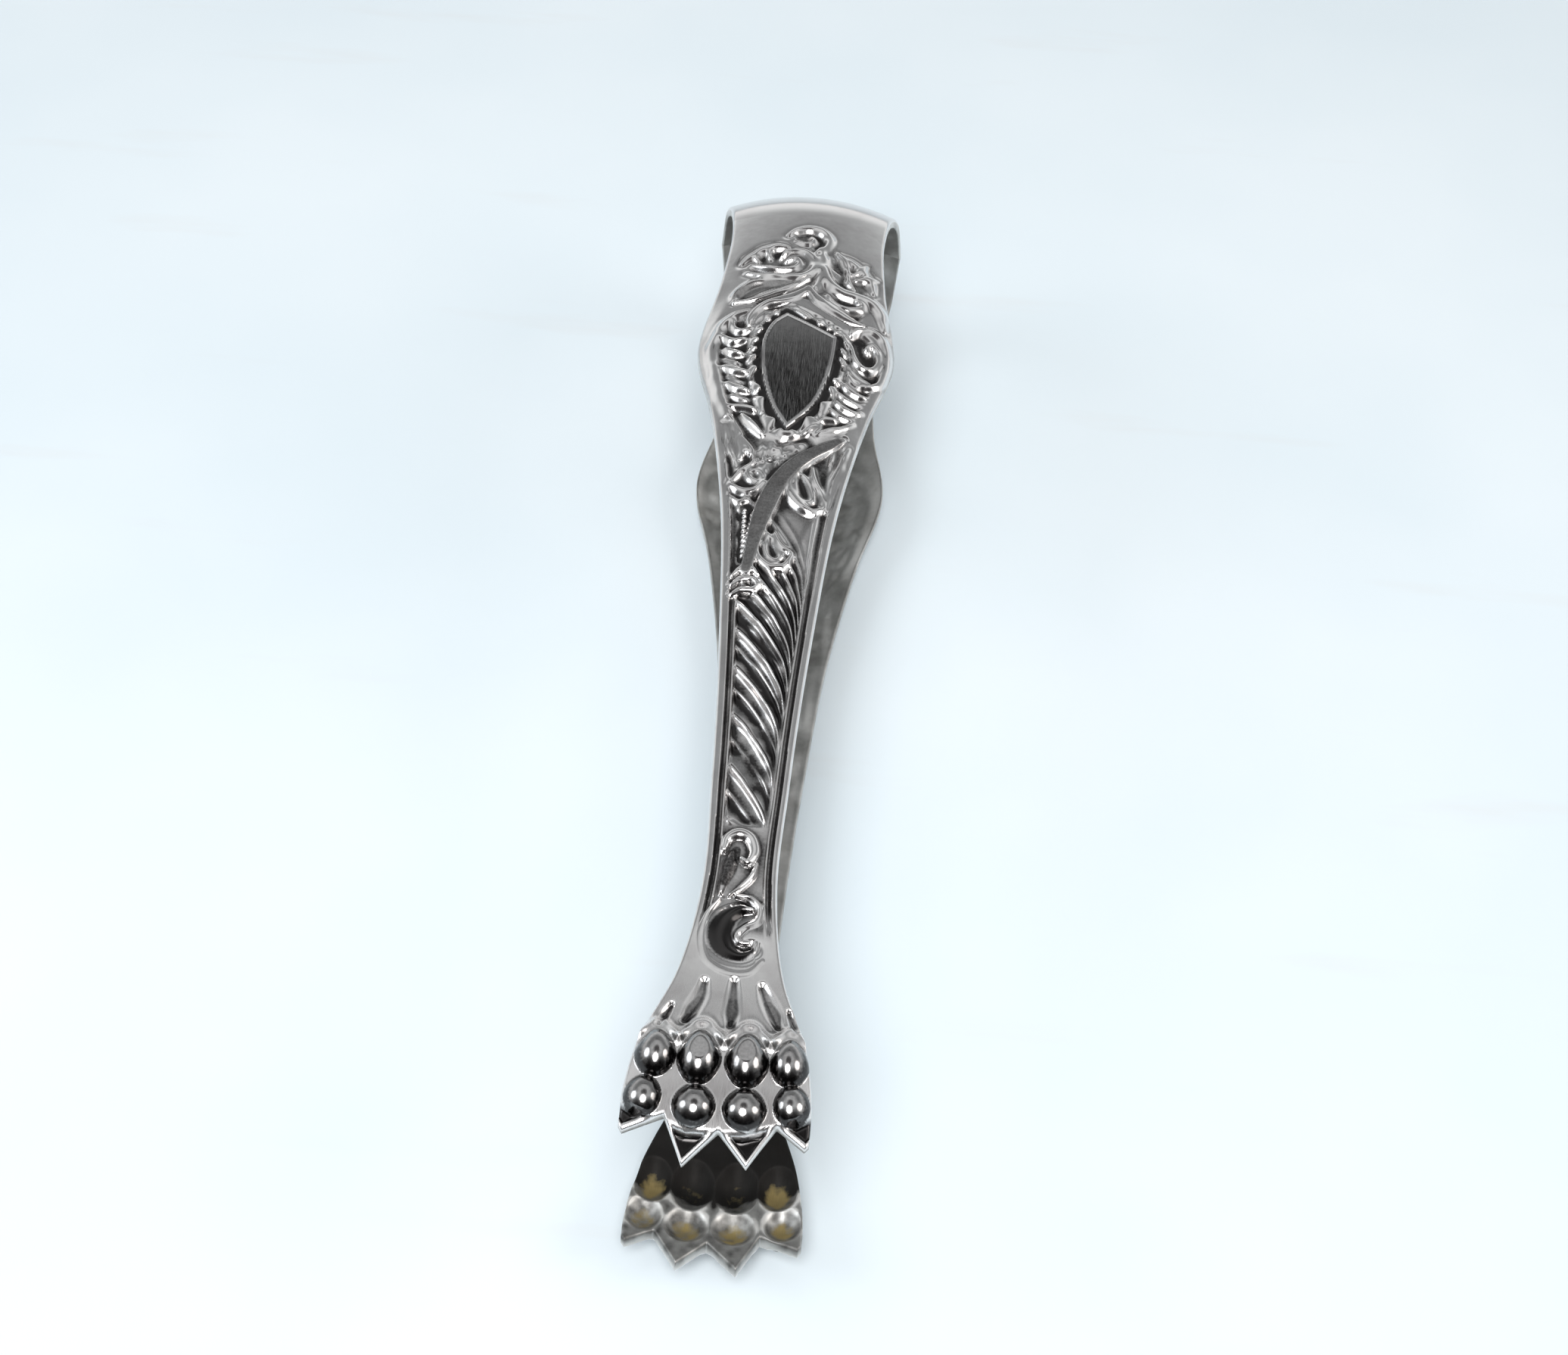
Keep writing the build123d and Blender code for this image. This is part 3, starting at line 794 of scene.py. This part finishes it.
def outerHeight(x, v):
    # the pressed face of the strip, as a height over its domed surface, with where it is
    # mirror-flat and where it is darkened, by painted shade on the feet or by dark bands and films: each step
    # carves the sum of the steps before it
    shape = x.shape
    field = dict(x=x.ravel(), v=v.ravel(), w=halfWidth(v).ravel())
    for name in ("h", "mirror", "worked", "shade"):
        field[name] = np.zeros(x.size)
    first, last = field["v"].min(), field["v"].max()
    if first < strip["pressedTo"]:
        exact = field["x"], field["v"]
        cutRims(field)
        free = ease(hand["freeFrom"], hand["freeTo"], exact[1])
        wander = [hand["wander"] * free * grain(*exact, hand["wanderPitch"], seed) for seed in (31, 32)]
        field["x"], field["v"] = exact[0] + wander[0], exact[1] + wander[1]
        for level, section, line in scrolls["ground"]:
            carve(field, line, level, section)
        cutFlutes(field)
        setStipple(field)
        leaf(field, **leaves[0])
        field["worked"][:] = 0
        for group in ("leftSide", "rightSide", "crest"):
            emboss(field, group)
        for piece in leaves[1:]:
            leaf(field, **piece)
        emboss(field, "sweep")
        field["x"], field["v"] = exact
        soft = blur(field["h"].reshape(shape), hand["wornBy"], hand["wornBy"]).ravel()
        fromSeam = np.minimum(exact[1] - first, last - exact[1])
        field["h"] += (soft - field["h"]) * free * ease(0.3, 1.0, fromSeam)
        setBeads(field)
        setShield(field)
        emboss(field, "roof")
        emboss(field, "blade")
        for level, section, line in scrolls["ankle"]:
            carve(field, line, level, section)
        for most, line in darkBands:
            shadeAlong(field, line, most)
        rough = hand["uneven"] * free * grain(*exact, hand["unevenPitch"], 33)
        field["h"] += rough * field["worked"] * (1 - field["mirror"]) * (1 - field["shade"])
    if first < strip["footWorkTo"]:
        shapeFoot(field)
    _, z, _, nz = crownLine(field["v"])
    most = (topFace - 0.02 - z) / np.maximum(nz, 0.5) + domeDrop(field["x"], field["v"])
    field["h"] = np.where(field["v"] < strip["pressedTo"], np.minimum(field["h"], most), field["h"])
    return [field[name].reshape(shape) for name in ("h", "mirror", "shade")]


rimSteps = np.array([0.0, 0.012, 0.04, 0.085, 0.15, 0.23, 0.33])  # from the edge inwards


def crossPlaces(count):
    # columns across the strip: rim columns at fixed distances from each edge, even ones between
    outwards = rimSteps[-1] - rimSteps[:-1]
    rim = np.ones(len(outwards))
    base = np.concatenate([-rim, np.linspace(-1, 1, count), rim])
    offset = np.concatenate([-outwards, np.zeros(count), outwards[::-1]])
    return base, offset


def gridOver(rows, columns, tips):
    # x and v of every grid place; near the claws the rows bend to follow the claw line
    base, offset = crossPlaces(columns)
    v = np.repeat(rows[:, None], len(base), 1)
    w = halfWidth(v)
    x = base * (w - rimSteps[-1]) + offset
    if tips:
        share = rows[:, None] / rows[-1]
        v = clawEnd(x, w) * (1 - share) + rows[-1] * share
        w = halfWidth(v)
        x = base * (w - rimSteps[-1]) + offset
    return x, v, w


def roundedEdge(x, v, w, tips):
    # how far the surface turns down at the strip's edges: a quarter circle
    r = strip["edgeRound"]
    away = w - np.abs(x)
    if tips:
        away = np.minimum(away, (v - clawEnd(x, w)) * 0.7)  # across the slanting claw line
    return r - np.sqrt(np.maximum(r * r - np.clip(r - away, 0, r) ** 2, 0))


# the back of the sheet: how far the pressing shows through, and the dimples behind the knuckles
back = dict(
    softened=0.4, lowest=-0.6, highest=0.4, kept=0.75, toeFrom=12.0, toeTo=15.0, dimpleWide=1.08,
    dimpleDeep=0.66, dimpleShape=1.2,
)


def innerHeight(x, v, outerField, step):
    # the sheet's thickness under a softened copy of the pressed face, with the knuckles
    # dished out behind
    soft = blur(outerField, back["softened"] / step[0], back["softened"] / step[1])
    dished = np.zeros_like(x)
    for row in ("first", "second"):
        for knuckle in toes[row]:
            q = eggDistance(x, v, knuckle, toes["backNarrow"]) / back["dimpleWide"]
            dimple = np.maximum(1 - q * q, 0) ** back["dimpleShape"]
            dished = np.maximum(dished, back["dimpleDeep"] * knuckle[4] * dimple)
    shown = np.clip(soft, back["lowest"], back["highest"]) * back["kept"]
    toe = 1 - ease(back["toeFrom"], back["toeTo"], v)
    return -strip["thickness"] + shown * (1 - toe) + dished * toe


def halfTurn(points):
    # the lower half is the upper one turned half way round the line x = 0 at mid height
    return np.stack([-points[..., 0], points[..., 1], 2 * midHeight - points[..., 2]], -1)


def surfaceNormals(points):
    # cross product of the differences along the columns and the rows
    down = np.gradient(points, axis=0)
    across = np.gradient(points, axis=1)
    n = np.cross(across, down)
    return n / np.maximum(np.linalg.norm(n, axis=-1, keepdims=True), 1e-12)


# where the face is dark: in cavities, measured against the mean height over a reach, and on
# what is sunk. The feet are rubbed clean but for their painted shade and dark bands, and are satin in
# between.
tarnish = dict(
    reach=0.55, cavity=2.7, sunkFrom=0.2, sunk=0.7, footFrom=11.5, footTo=13.5, onFoot=0.1, satinFrom=12.0,
    satinTo=24.0, satinDark=(0.1, 0.4),
)


def darkness(height, shade, v, step):
    # cavities and sunk places added up, faded on the feet, or the painted shade, dark bands and trench film
    # where those are darker
    t = tarnish
    cavity = blur(height, t["reach"] / step[0], t["reach"] / step[1]) - height
    deep = np.clip(cavity * t["cavity"] + np.clip(-height - t["sunkFrom"], 0, 1) * t["sunk"], 0, 1)
    kept = t["onFoot"] + (1 - t["onFoot"]) * ease(t["footFrom"], t["footTo"], v)
    return np.maximum(deep * kept, shade)


def stripQuads(rows, columns):
    # faces between the points of the outer grid and then the inner one: outer, inner, sides, ends
    number = np.arange(rows * columns).reshape(rows, columns)
    under = rows * columns
    top = np.stack([number[:-1, :-1], number[:-1, 1:], number[1:, 1:], number[1:, :-1]], -1).reshape(-1, 4)
    walls = []
    for line in (number[:, 0], number[::-1, -1], number[0, ::-1], number[-1]):
        walls.append(np.stack([line[:-1], line[1:], line[1:] + under, line[:-1] + under], -1))
    return top, top[:, ::-1] + under, walls


def stripPiece(name, rows, columns, lower, tips):
    # outer and inner faces over one stretch of the strip, joined round their edges. A ghost
    # row past each seam is computed too, so that the shading runs through the seam.
    ghosts = rows if tips else np.concatenate([[2 * rows[0] - rows[1]], rows])
    ghosts = np.concatenate([ghosts, [2 * rows[-1] - rows[-2]]])
    keep = slice(0 if tips else 1, -1)
    x, v, w = gridOver(ghosts, columns, tips)
    if tips:
        v[-1] = ghosts[-1]
    height, mirror, shade = outerHeight(x, np.minimum(v, strip["outline"][-1][0]))
    step = (np.diff(rows).mean(), 2 * w.mean() / columns)
    rounded = roundedEdge(x, v, w, tips)
    under = np.minimum(innerHeight(x, v, height, step) + rounded, height - rounded - strip["thinnest"])
    outer, inner = onStrip(x, v, height - rounded), onStrip(x, v, under)
    if lower:
        outer, inner = halfTurn(outer), halfTurn(inner)
    normals = surfaceNormals(outer)[keep], -surfaceNormals(inner)[keep]
    deep = darkness(height, shade, v, step)
    outer, inner, deep, mirror, x, v = (field[keep] for field in (outer, inner, deep, mirror, x, v))
    top, below, walls = stripQuads(*x.shape)
    quads = np.concatenate([top, below, *walls])
    mesh = bpy.data.meshes.new(name)
    mesh.from_pydata(np.vstack([outer.reshape(-1, 3), inner.reshape(-1, 3)]) * mm, [], quads.tolist())
    flat = len(walls[3]) if tips else len(walls[2]) + len(walls[3])  # the end faces at the seams
    smooth = np.ones(len(quads), bool)
    smooth[-flat:] = False
    mesh.polygons.foreach_set("use_smooth", smooth)
    slots = np.zeros(len(quads), np.int32)
    slots[len(top) :] = 1
    mesh.polygons.foreach_set("material_index", slots)
    satin = (1 - ease(tarnish["satinFrom"], tarnish["satinTo"], v)) * (1 - ease(*tarnish["satinDark"], deep))
    none = np.zeros_like(x)
    # the first attribute carries the real patina of the hollows together with the painted shade of the feet
    # and the painted shadow inside the lower foot
    for label, onOuter, onInner in (
        ("patinaAndShade", deep, innerPatinaAndShadow(x, v)), ("mirror", mirror, none), ("satin", satin, none),
        ("wear", none, brassWear(x, v)),
    ):
        layer = mesh.attributes.new(label, "FLOAT", "POINT")
        layer.data.foreach_set("value", np.stack([onOuter, onInner]).ravel().astype(np.float32))
    custom = np.zeros((2, *x.shape, 3))
    for row in ((-1,) if tips else (0, -1)):
        for side in (0, 1):
            custom[side, row, 1:-1] = normals[side][row, 1:-1]
    mesh.validate()
    mesh.update()
    piece = bpy.data.objects.new(name, mesh)
    bpy.context.collection.objects.link(piece)
    seamNormals(mesh, custom.reshape(-1, 3), len(quads) - flat)
    print(name, "triangles", 2 * len(quads))
    return piece


def seamNormals(mesh, normals, smoothFaces):
    # sets the computed normals where smooth faces meet a seam, and leaves the rest alone
    corners = np.zeros(len(mesh.loops), np.int32)
    mesh.loops.foreach_get("vertex_index", corners)
    chosen = normals[corners]
    chosen[smoothFaces * 4 :] = 0
    mesh.normals_split_custom_set(chosen.tolist())


def brassWear(x, v):
    # where the plate has worn through on the back of the knuckles, 0 to 1: each dimple's
    # amount, fading out from its middle, made patchy
    worn = np.zeros_like(x)
    for row in ("first", "second"):
        for amount, (cx, cv, wide, tall, _) in zip(toes[row + "Worn"], toes[row]):
            gap = np.hypot((x - cx) / (0.95 * wide), (v - cv + 0.3) / (0.95 * tall))
            worn = np.maximum(worn, amount * (1 - ease(0.2, 0.95, gap)))
    patchy = 0.8 + 0.45 * grain(x, v, 0.6, 21) + 0.25 * grain(x, v, 1.3, 22)
    return np.clip(worn * patchy, 0, 1)


# the unpolished back: its film and streaks, and in the foot a painted shadow under the upper foot and chalky
# ridges
dull = dict(
    # painted shadow under the upper foot: its darkness, where it starts, its bow across and its uneven edge
    # are set among these
    film=0.22, middle=0.2, streak=0.12, streakRun=6, cloud=0.08, footTo=(10.0, 26.0), underShadow=1.5,
    underShadowFrom=(6.6, 8.4), underShadowBow=0.3, underShadowUneven=0.6, chalky=0.6, uneven=0.2, ridgeFrom=(0.82, 1.0),
    ridgeTo=(1.05, 1.4), clawRidge=0.3, clawTo=(3.4, 5.4), most=1.4,
)


def innerPatinaAndShadow(x, v):
    # the backs of the arms are dull, with streaks along them. In the foot, painted shadow makes the
    # hollows of the first row black where the upper foot hangs over them, and the ridges between the dimples
    # are rubbed bright.
    d = dull
    across = 1 - np.abs(x) / halfWidth(v)
    streak = d["streak"] * grain(x, v / d["streakRun"], 1.1, 8) + d["cloud"] * grain(x, v, 2.4, 9)
    film = d["film"] + d["middle"] * across + streak
    # painted shadow: black on the lower foot's inside where the upper foot hangs over it, with an uneven edge
    uneven = d["underShadowUneven"] * grain(x, v, 1.4, 23)
    underShadow = ease(*d["underShadowFrom"], v - d["underShadowBow"] * np.abs(x) + uneven)
    dent = np.full_like(x, 2.0)
    for row in ("first", "second"):
        for knuckle in toes[row]:
            dent = np.minimum(dent, eggDistance(x, v, knuckle, toes["backNarrow"]))
    ridge = ease(*d["ridgeFrom"], dent) * (1 - ease(*d["ridgeTo"], dent))
    ridge = ridge * (d["clawRidge"] + (1 - d["clawRidge"]) * ease(*d["clawTo"], v))
    ridge = ridge * np.clip(0.85 + 0.6 * grain(x, v, 1.1, 25), 0, 1)
    chalk = d["chalky"] * (1 - ridge) + d["uneven"] * grain(x, v, 0.6, 24)
    foot = d["underShadow"] * underShadow + (1 - underShadow) * chalk
    toe = 1 - ease(*d["footTo"], v)
    return np.clip(film + (foot - film) * toe, 0, d["most"])


def colour(code):
    # sRGB hex to linear light, by the standard's two-part curve
    parts = [int(code[k : k + 2], 16) / 255 for k in (1, 3, 5)]
    return (*(p / 12.92 if p <= 0.04045 else ((p + 0.055) / 1.055) ** 2.4 for p in parts), 1.0)


def add(tree, kind, inputs, **settings):
    # one node with its settings; an input is a value or the output that feeds it
    node = tree.nodes.new(kind)
    for key, value in settings.items():
        setattr(node, key, value)
    for key, value in inputs.items():
        if isinstance(value, bpy.types.NodeSocket):
            tree.links.new(value, node.inputs[key])
        else:
            node.inputs[key].default_value = value
    return node


def noise(tree, place, size, detail=3.0, stretch=None):
    # noise of a real size in millimetres; stretch gives the length of a streak for each axis
    if stretch:
        scale = tuple(1 / k for k in stretch)
        place = add(tree, "ShaderNodeMapping", dict(Vector=place, Scale=scale)).outputs[0]
    inputs = dict(Vector=place, Scale=1 / (size * mm), Detail=detail)
    return add(tree, "ShaderNodeTexNoise", inputs).outputs["Fac"]


def between(tree, fac, low, high, toLow=0.0, toHigh=1.0):
    # maps fac from low..high to another range, held at its ends
    ports = {"Value": fac, "From Min": low, "From Max": high, "To Min": toLow, "To Max": toHigh}
    return add(tree, "ShaderNodeMapRange", ports, clamp=True).outputs[0]


def maths(tree, how, a, b):
    # a and b added, multiplied or whatever the node calls it
    return add(tree, "ShaderNodeMath", {0: a, 1: b}, operation=how).outputs[0]


def blendColour(tree, fac, a, b):
    # a + (b - a) * fac
    return add(tree, "ShaderNodeMix", {0: fac, 6: a, 7: b}, data_type="RGBA").outputs[2]


# the same on every face, in millimetres: hairline scratches that run along the tongs
plate = dict(
    hairline=0.05, hairlineRun=(1.0, 28.0, 6.0), hairlineDepth=0.0022, speckles=(0.88, 1.12), bareRough=0.22,
    satinRough=0.15, mirrorSmooth=0.5, mirrorFlat=0.12,
)


def silverPlate(name, look):
    # polished plate, dark where sulphide has stayed in the hollows of the stamping and where shade is painted
    # in, with hairline scratches from polishing, and yellow base metal where the plate has gone
    material = bpy.data.materials.new(name)
    material.use_nodes = True
    tree = material.node_tree
    tree.nodes.clear()
    place = add(tree, "ShaderNodeTexCoord", {}).outputs["Object"]
    patinaAndShade, wear, mirror, satin = (
        add(tree, "ShaderNodeAttribute", {}, attribute_name=label).outputs["Fac"]
        for label in ("patinaAndShade", "wear", "mirror", "satin")
    )
    cloud = noise(tree, place, look["cloud"])
    speck = noise(tree, place, look["speck"], 4.0)
    spread = maths(tree, "MULTIPLY", patinaAndShade, between(tree, speck, 0.3, 0.7, *plate["speckles"]))
    dark = between(tree, spread, look["darkFrom"], look["darkTo"], 0.0, look["most"])
    film = between(tree, cloud, 0.42, 0.72, 0.0, look["film"])
    tone = blendColour(tree, film, colour(look["bright"]), colour(look["filmTone"]))
    tone = blendColour(tree, dark, tone, colour(look["oxide"]))
    bare = between(tree, maths(tree, "ADD", wear, maths(tree, "MULTIPLY", speck, 0.6)), 0.5, 1.0)
    bare = maths(tree, "MULTIPLY", bare, between(tree, wear, 0.02, 0.2))
    tone = blendColour(tree, bare, tone, colour(look["base"]))
    scratch = noise(tree, place, plate["hairline"], 2.0, plate["hairlineRun"])
    rough = between(tree, scratch, 0.35, 0.75, look["rough"], look["rough"] + look["brushed"])
    for part, amount in ((dark, look["matt"]), (bare, plate["bareRough"]), (satin, plate["satinRough"])):
        rough = maths(tree, "ADD", rough, maths(tree, "MULTIPLY", part, amount))
    smoother = maths(tree, "MULTIPLY", mirror, look["rough"] * plate["mirrorSmooth"])
    rough = maths(tree, "SUBTRACT", rough, smoother)
    dents = maths(tree, "MULTIPLY", noise(tree, place, look["dent"], 2.0), look["dentDepth"])
    bumps = maths(tree, "ADD", dents, maths(tree, "MULTIPLY", scratch, plate["hairlineDepth"]))
    bumps = maths(tree, "MULTIPLY", bumps, between(tree, mirror, 0.0, 1.0, 1.0, plate["mirrorFlat"]))
    relief = add(tree, "ShaderNodeBump", dict(Strength=1.0, Distance=mm, Height=bumps))
    metal = 1.0
    if look["chalk"]:
        metal = between(tree, spread, 0.02, 0.25, 1 - look["chalk"], 1.0)
    surface = add(
        tree, "ShaderNodeBsdfPrincipled",
        {"Base Color": tone, "Metallic": metal, "Roughness": rough, "Normal": relief.outputs[0]},
    )
    add(tree, "ShaderNodeOutputMaterial", {"Surface": surface.outputs[0]})
    return material


# cloud, speck and dent are sizes in millimetres. Darkness runs up to most between darkFrom and
# darkTo of the patina and painted shade, and chalk is how far a thin film takes away the metal's reflection.
plain = dict(
    bright="#E6E4E3", filmTone="#CBC6C6", oxide="#2C2A2A", base="#B79B5E", cloud=5.0, speck=0.5, film=0.5,
    rough=0.12, brushed=0.08, matt=0.2, dent=2.6, dentDepth=0.006, darkFrom=0.15, darkTo=1.0, most=0.8,
    chalk=0,
)
stamped = dict(
    bright="#E6E4E3", filmTone="#C4BFBF", oxide="#2C2A2A", base="#B79B5E", cloud=3.0, speck=0.25, film=0.45,
    rough=0.12, brushed=0.08, matt=0.2, dent=0.9, dentDepth=0.007, darkFrom=0.08, darkTo=0.8, most=0.96,
    chalk=0,
)
worn = dict(stamped, dentDepth=0.004, matt=0.02)
inside = dict(
    bright="#D0CFCC", filmTone="#94918C", oxide="#1F1D1C", base="#A3946A", cloud=3.0, speck=0.5, film=0.6,
    rough=0.34, brushed=0.1, matt=0.25, dent=1.6, dentDepth=0.012, darkFrom=0.1, darkTo=0.95, most=0.97,
    chalk=0.6,
)
# bare band of the bow: broad soft reflections broken by polishing lines
bowSilver = silverPlate("silver plate, burnished", plain)
# arms: bright ridges against blackened hollows
armSilver = silverPlate("silver plate, die stamped and oxidised", stamped)
# feet: glossy knuckles with painted shade on them, and darkness between the toes
footSilver = silverPlate("silver plate, die stamped and worn", worn)
# the backs of the arms: dull grey film, brass showing through in the dimples, and painted shadow in the foot
backSilver = silverPlate("silver plate, unpolished back with base metal showing", inside)


def paper():
    # matt white card: a cool white that isn't quite even, with faint fibres and scuffs
    material = bpy.data.materials.new("white card, matt coated")
    material.use_nodes = True
    tree = material.node_tree
    tree.nodes.clear()
    place = add(tree, "ShaderNodeTexCoord", {}).outputs["Object"]
    broad = noise(tree, place, 60.0)
    fibre = noise(tree, place, 0.8, 5.0, (1.0, 4.0, 1.0))
    scuff = between(tree, noise(tree, place, 9.0, 4.0, (6.0, 1.0, 1.0)), 0.62, 0.78)
    tone = blendColour(tree, between(tree, broad, 0.35, 0.65), colour("#EAF3F8"), colour("#E3EEF4"))
    tone = blendColour(tree, maths(tree, "MULTIPLY", scuff, 0.25), tone, colour("#DDD9D6"))
    relief = add(tree, "ShaderNodeBump", dict(Strength=0.25, Distance=0.05 * mm, Height=fibre))
    surface = add(
        tree, "ShaderNodeBsdfPrincipled",
        {"Base Color": tone, "Roughness": 0.75, "Specular IOR Level": 0.2, "Normal": relief.outputs[0]},
    )
    add(tree, "ShaderNodeOutputMaterial", {"Surface": surface.outputs[0]})
    return material


print("materials made")

# each stretch: from and to how far along the strip, its rows and its columns
stretches = dict(
    Bow=(119.5, 136.61, 64, 140), Head=(80.0, 119.5, 300, 148), Waist=(50.0, 80.0, 220, 124),
    Shank=(26.5, 50.0, 170, 110), Foot=(0.0, 26.5, 250, 148),
)
for half in ("upper", "lower"):
    for stretch, (first, last, rows, columns) in stretches.items():
        places = np.linspace(first, last, rows)
        piece = stripPiece(half + stretch, places, columns, lower=half == "lower", tips=stretch == "Foot")
        piece.data.materials.append(dict(Bow=bowSilver, Foot=footSilver).get(stretch, armSilver))
        piece.data.materials.append(backSilver)
        if stretch == "Bow":
            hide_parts(half + "_bow_shoulder", "bow_crown")
            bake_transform(piece)
        elif stretch == "Foot":
            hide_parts(half + "_claw_foot")
            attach(piece, half + "_half")
        else:
            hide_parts(half + "_arm")
            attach(piece, half + "_half")
print("strip made")

floorReach = 6.0  # metres from the tongs to its edges
corners = [(x * floorReach, y * floorReach, 0) for x, y in ((-1, -1), (1, -1), (1, 1), (-1, 1))]
ground = bpy.data.meshes.new("floor")
ground.from_pydata(corners, [], [(0, 1, 2, 3)])
floor = bpy.data.objects.new("floor", ground)
bpy.context.collection.objects.link(floor)
ground.materials.append(paper())


def softbox(name, azimuth, elevation, away, wide, power, tint):
    # a round light that faces the middle of the tongs: degrees, metres and watts
    data = bpy.data.lights.new(name, "AREA")
    data.shape = "DISK"
    data.size = wide
    data.energy = power
    data.color = colour(tint)[:3]
    turn, up = math.radians(azimuth), math.radians(elevation)
    out = Vector((math.sin(turn) * math.cos(up), -math.cos(turn) * math.cos(up), math.sin(up)))
    lamp = bpy.data.objects.new(name, data)
    lamp.location = out * away + Vector((0, 0, midHeight * mm))
    lamp.rotation_euler = out.to_track_quat("Z", "Y").to_euler()
    bpy.context.collection.objects.link(lamp)


softbox("front", azimuth=-5, elevation=56, away=0.6, wide=0.34, power=2.7, tint="#FFFFFF")
softbox("left", azimuth=-85, elevation=30, away=0.9, wide=0.45, power=1.8, tint="#F4FAFF")
softbox("right", azimuth=85, elevation=30, away=0.9, wide=0.45, power=1.8, tint="#FFFAF6")


room = dict(
    # brightness by height, which is the sine of the elevation: pale walls, darker overhead
    heights=[0.0, 0.2, 0.34, 0.45, 0.62, 0.75, 0.87, 0.93, 0.96, 1.0],
    tones=[
        "#FFFFFF", "#EEF1F2", "#BCBFC0", "#989A9B", "#8F9192",
        "#C4C6C7", "#E4E6E7", "#DCDEDF", "#6A6869", "#4A4849",
    ],
    front="#343233", frontFrom=-0.2, frontTo=-0.62,
    screen="#040404", screenLow=0.652, screenHigh=0.725, screenEdge=0.022, screenWide=0.3, screenFade=0.12,
    screenFrom=0.3, screenTo=0.4,
)


def surround():
    # the room behind and beside the tongs, a dark screen high up behind them that the
    # shield mirrors, and a dim front where the camera stands
    world = bpy.data.worlds.new("studio")
    bpy.context.scene.world = world
    world.use_nodes = True
    tree = world.node_tree
    tree.nodes.clear()
    place = add(tree, "ShaderNodeTexCoord", {}).outputs["Generated"]
    split = add(tree, "ShaderNodeSeparateXYZ", {0: place})
    side, away, up = split.outputs
    ramp = add(tree, "ShaderNodeValToRGB", {0: up})
    stops = ramp.color_ramp.elements
    while len(stops) < len(room["heights"]):
        stops.new(0.5)
    for stop, height, tone in zip(stops, room["heights"], room["tones"]):
        stop.position = height
        stop.color = colour(tone)
    low, high, wide, soft = (room["screen" + part] for part in ("Low", "High", "Wide", "Edge"))
    fromMiddle = maths(tree, "ABSOLUTE", side, 0.0)
    dark = maths(tree, "MULTIPLY", between(tree, up, low, low + soft), between(tree, up, high, high - soft))
    dark = maths(tree, "MULTIPLY", dark, between(tree, fromMiddle, wide, wide - room["screenFade"]))
    dark = maths(tree, "MULTIPLY", dark, between(tree, away, room["screenFrom"], room["screenTo"]))
    tone = blendColour(tree, dark, ramp.outputs[0], colour(room["screen"]))
    inFront = between(tree, away, room["frontFrom"], room["frontTo"])
    tone = blendColour(tree, inFront, tone, colour(room["front"]))
    light = add(tree, "ShaderNodeBackground", {"Color": tone, "Strength": 1.0})
    add(tree, "ShaderNodeOutputWorld", {"Surface": light.outputs[0]})


surround()
bpy.context.scene.view_settings.view_transform = "Standard"
bpy.context.scene.view_settings.look = "None"
print("lights set")
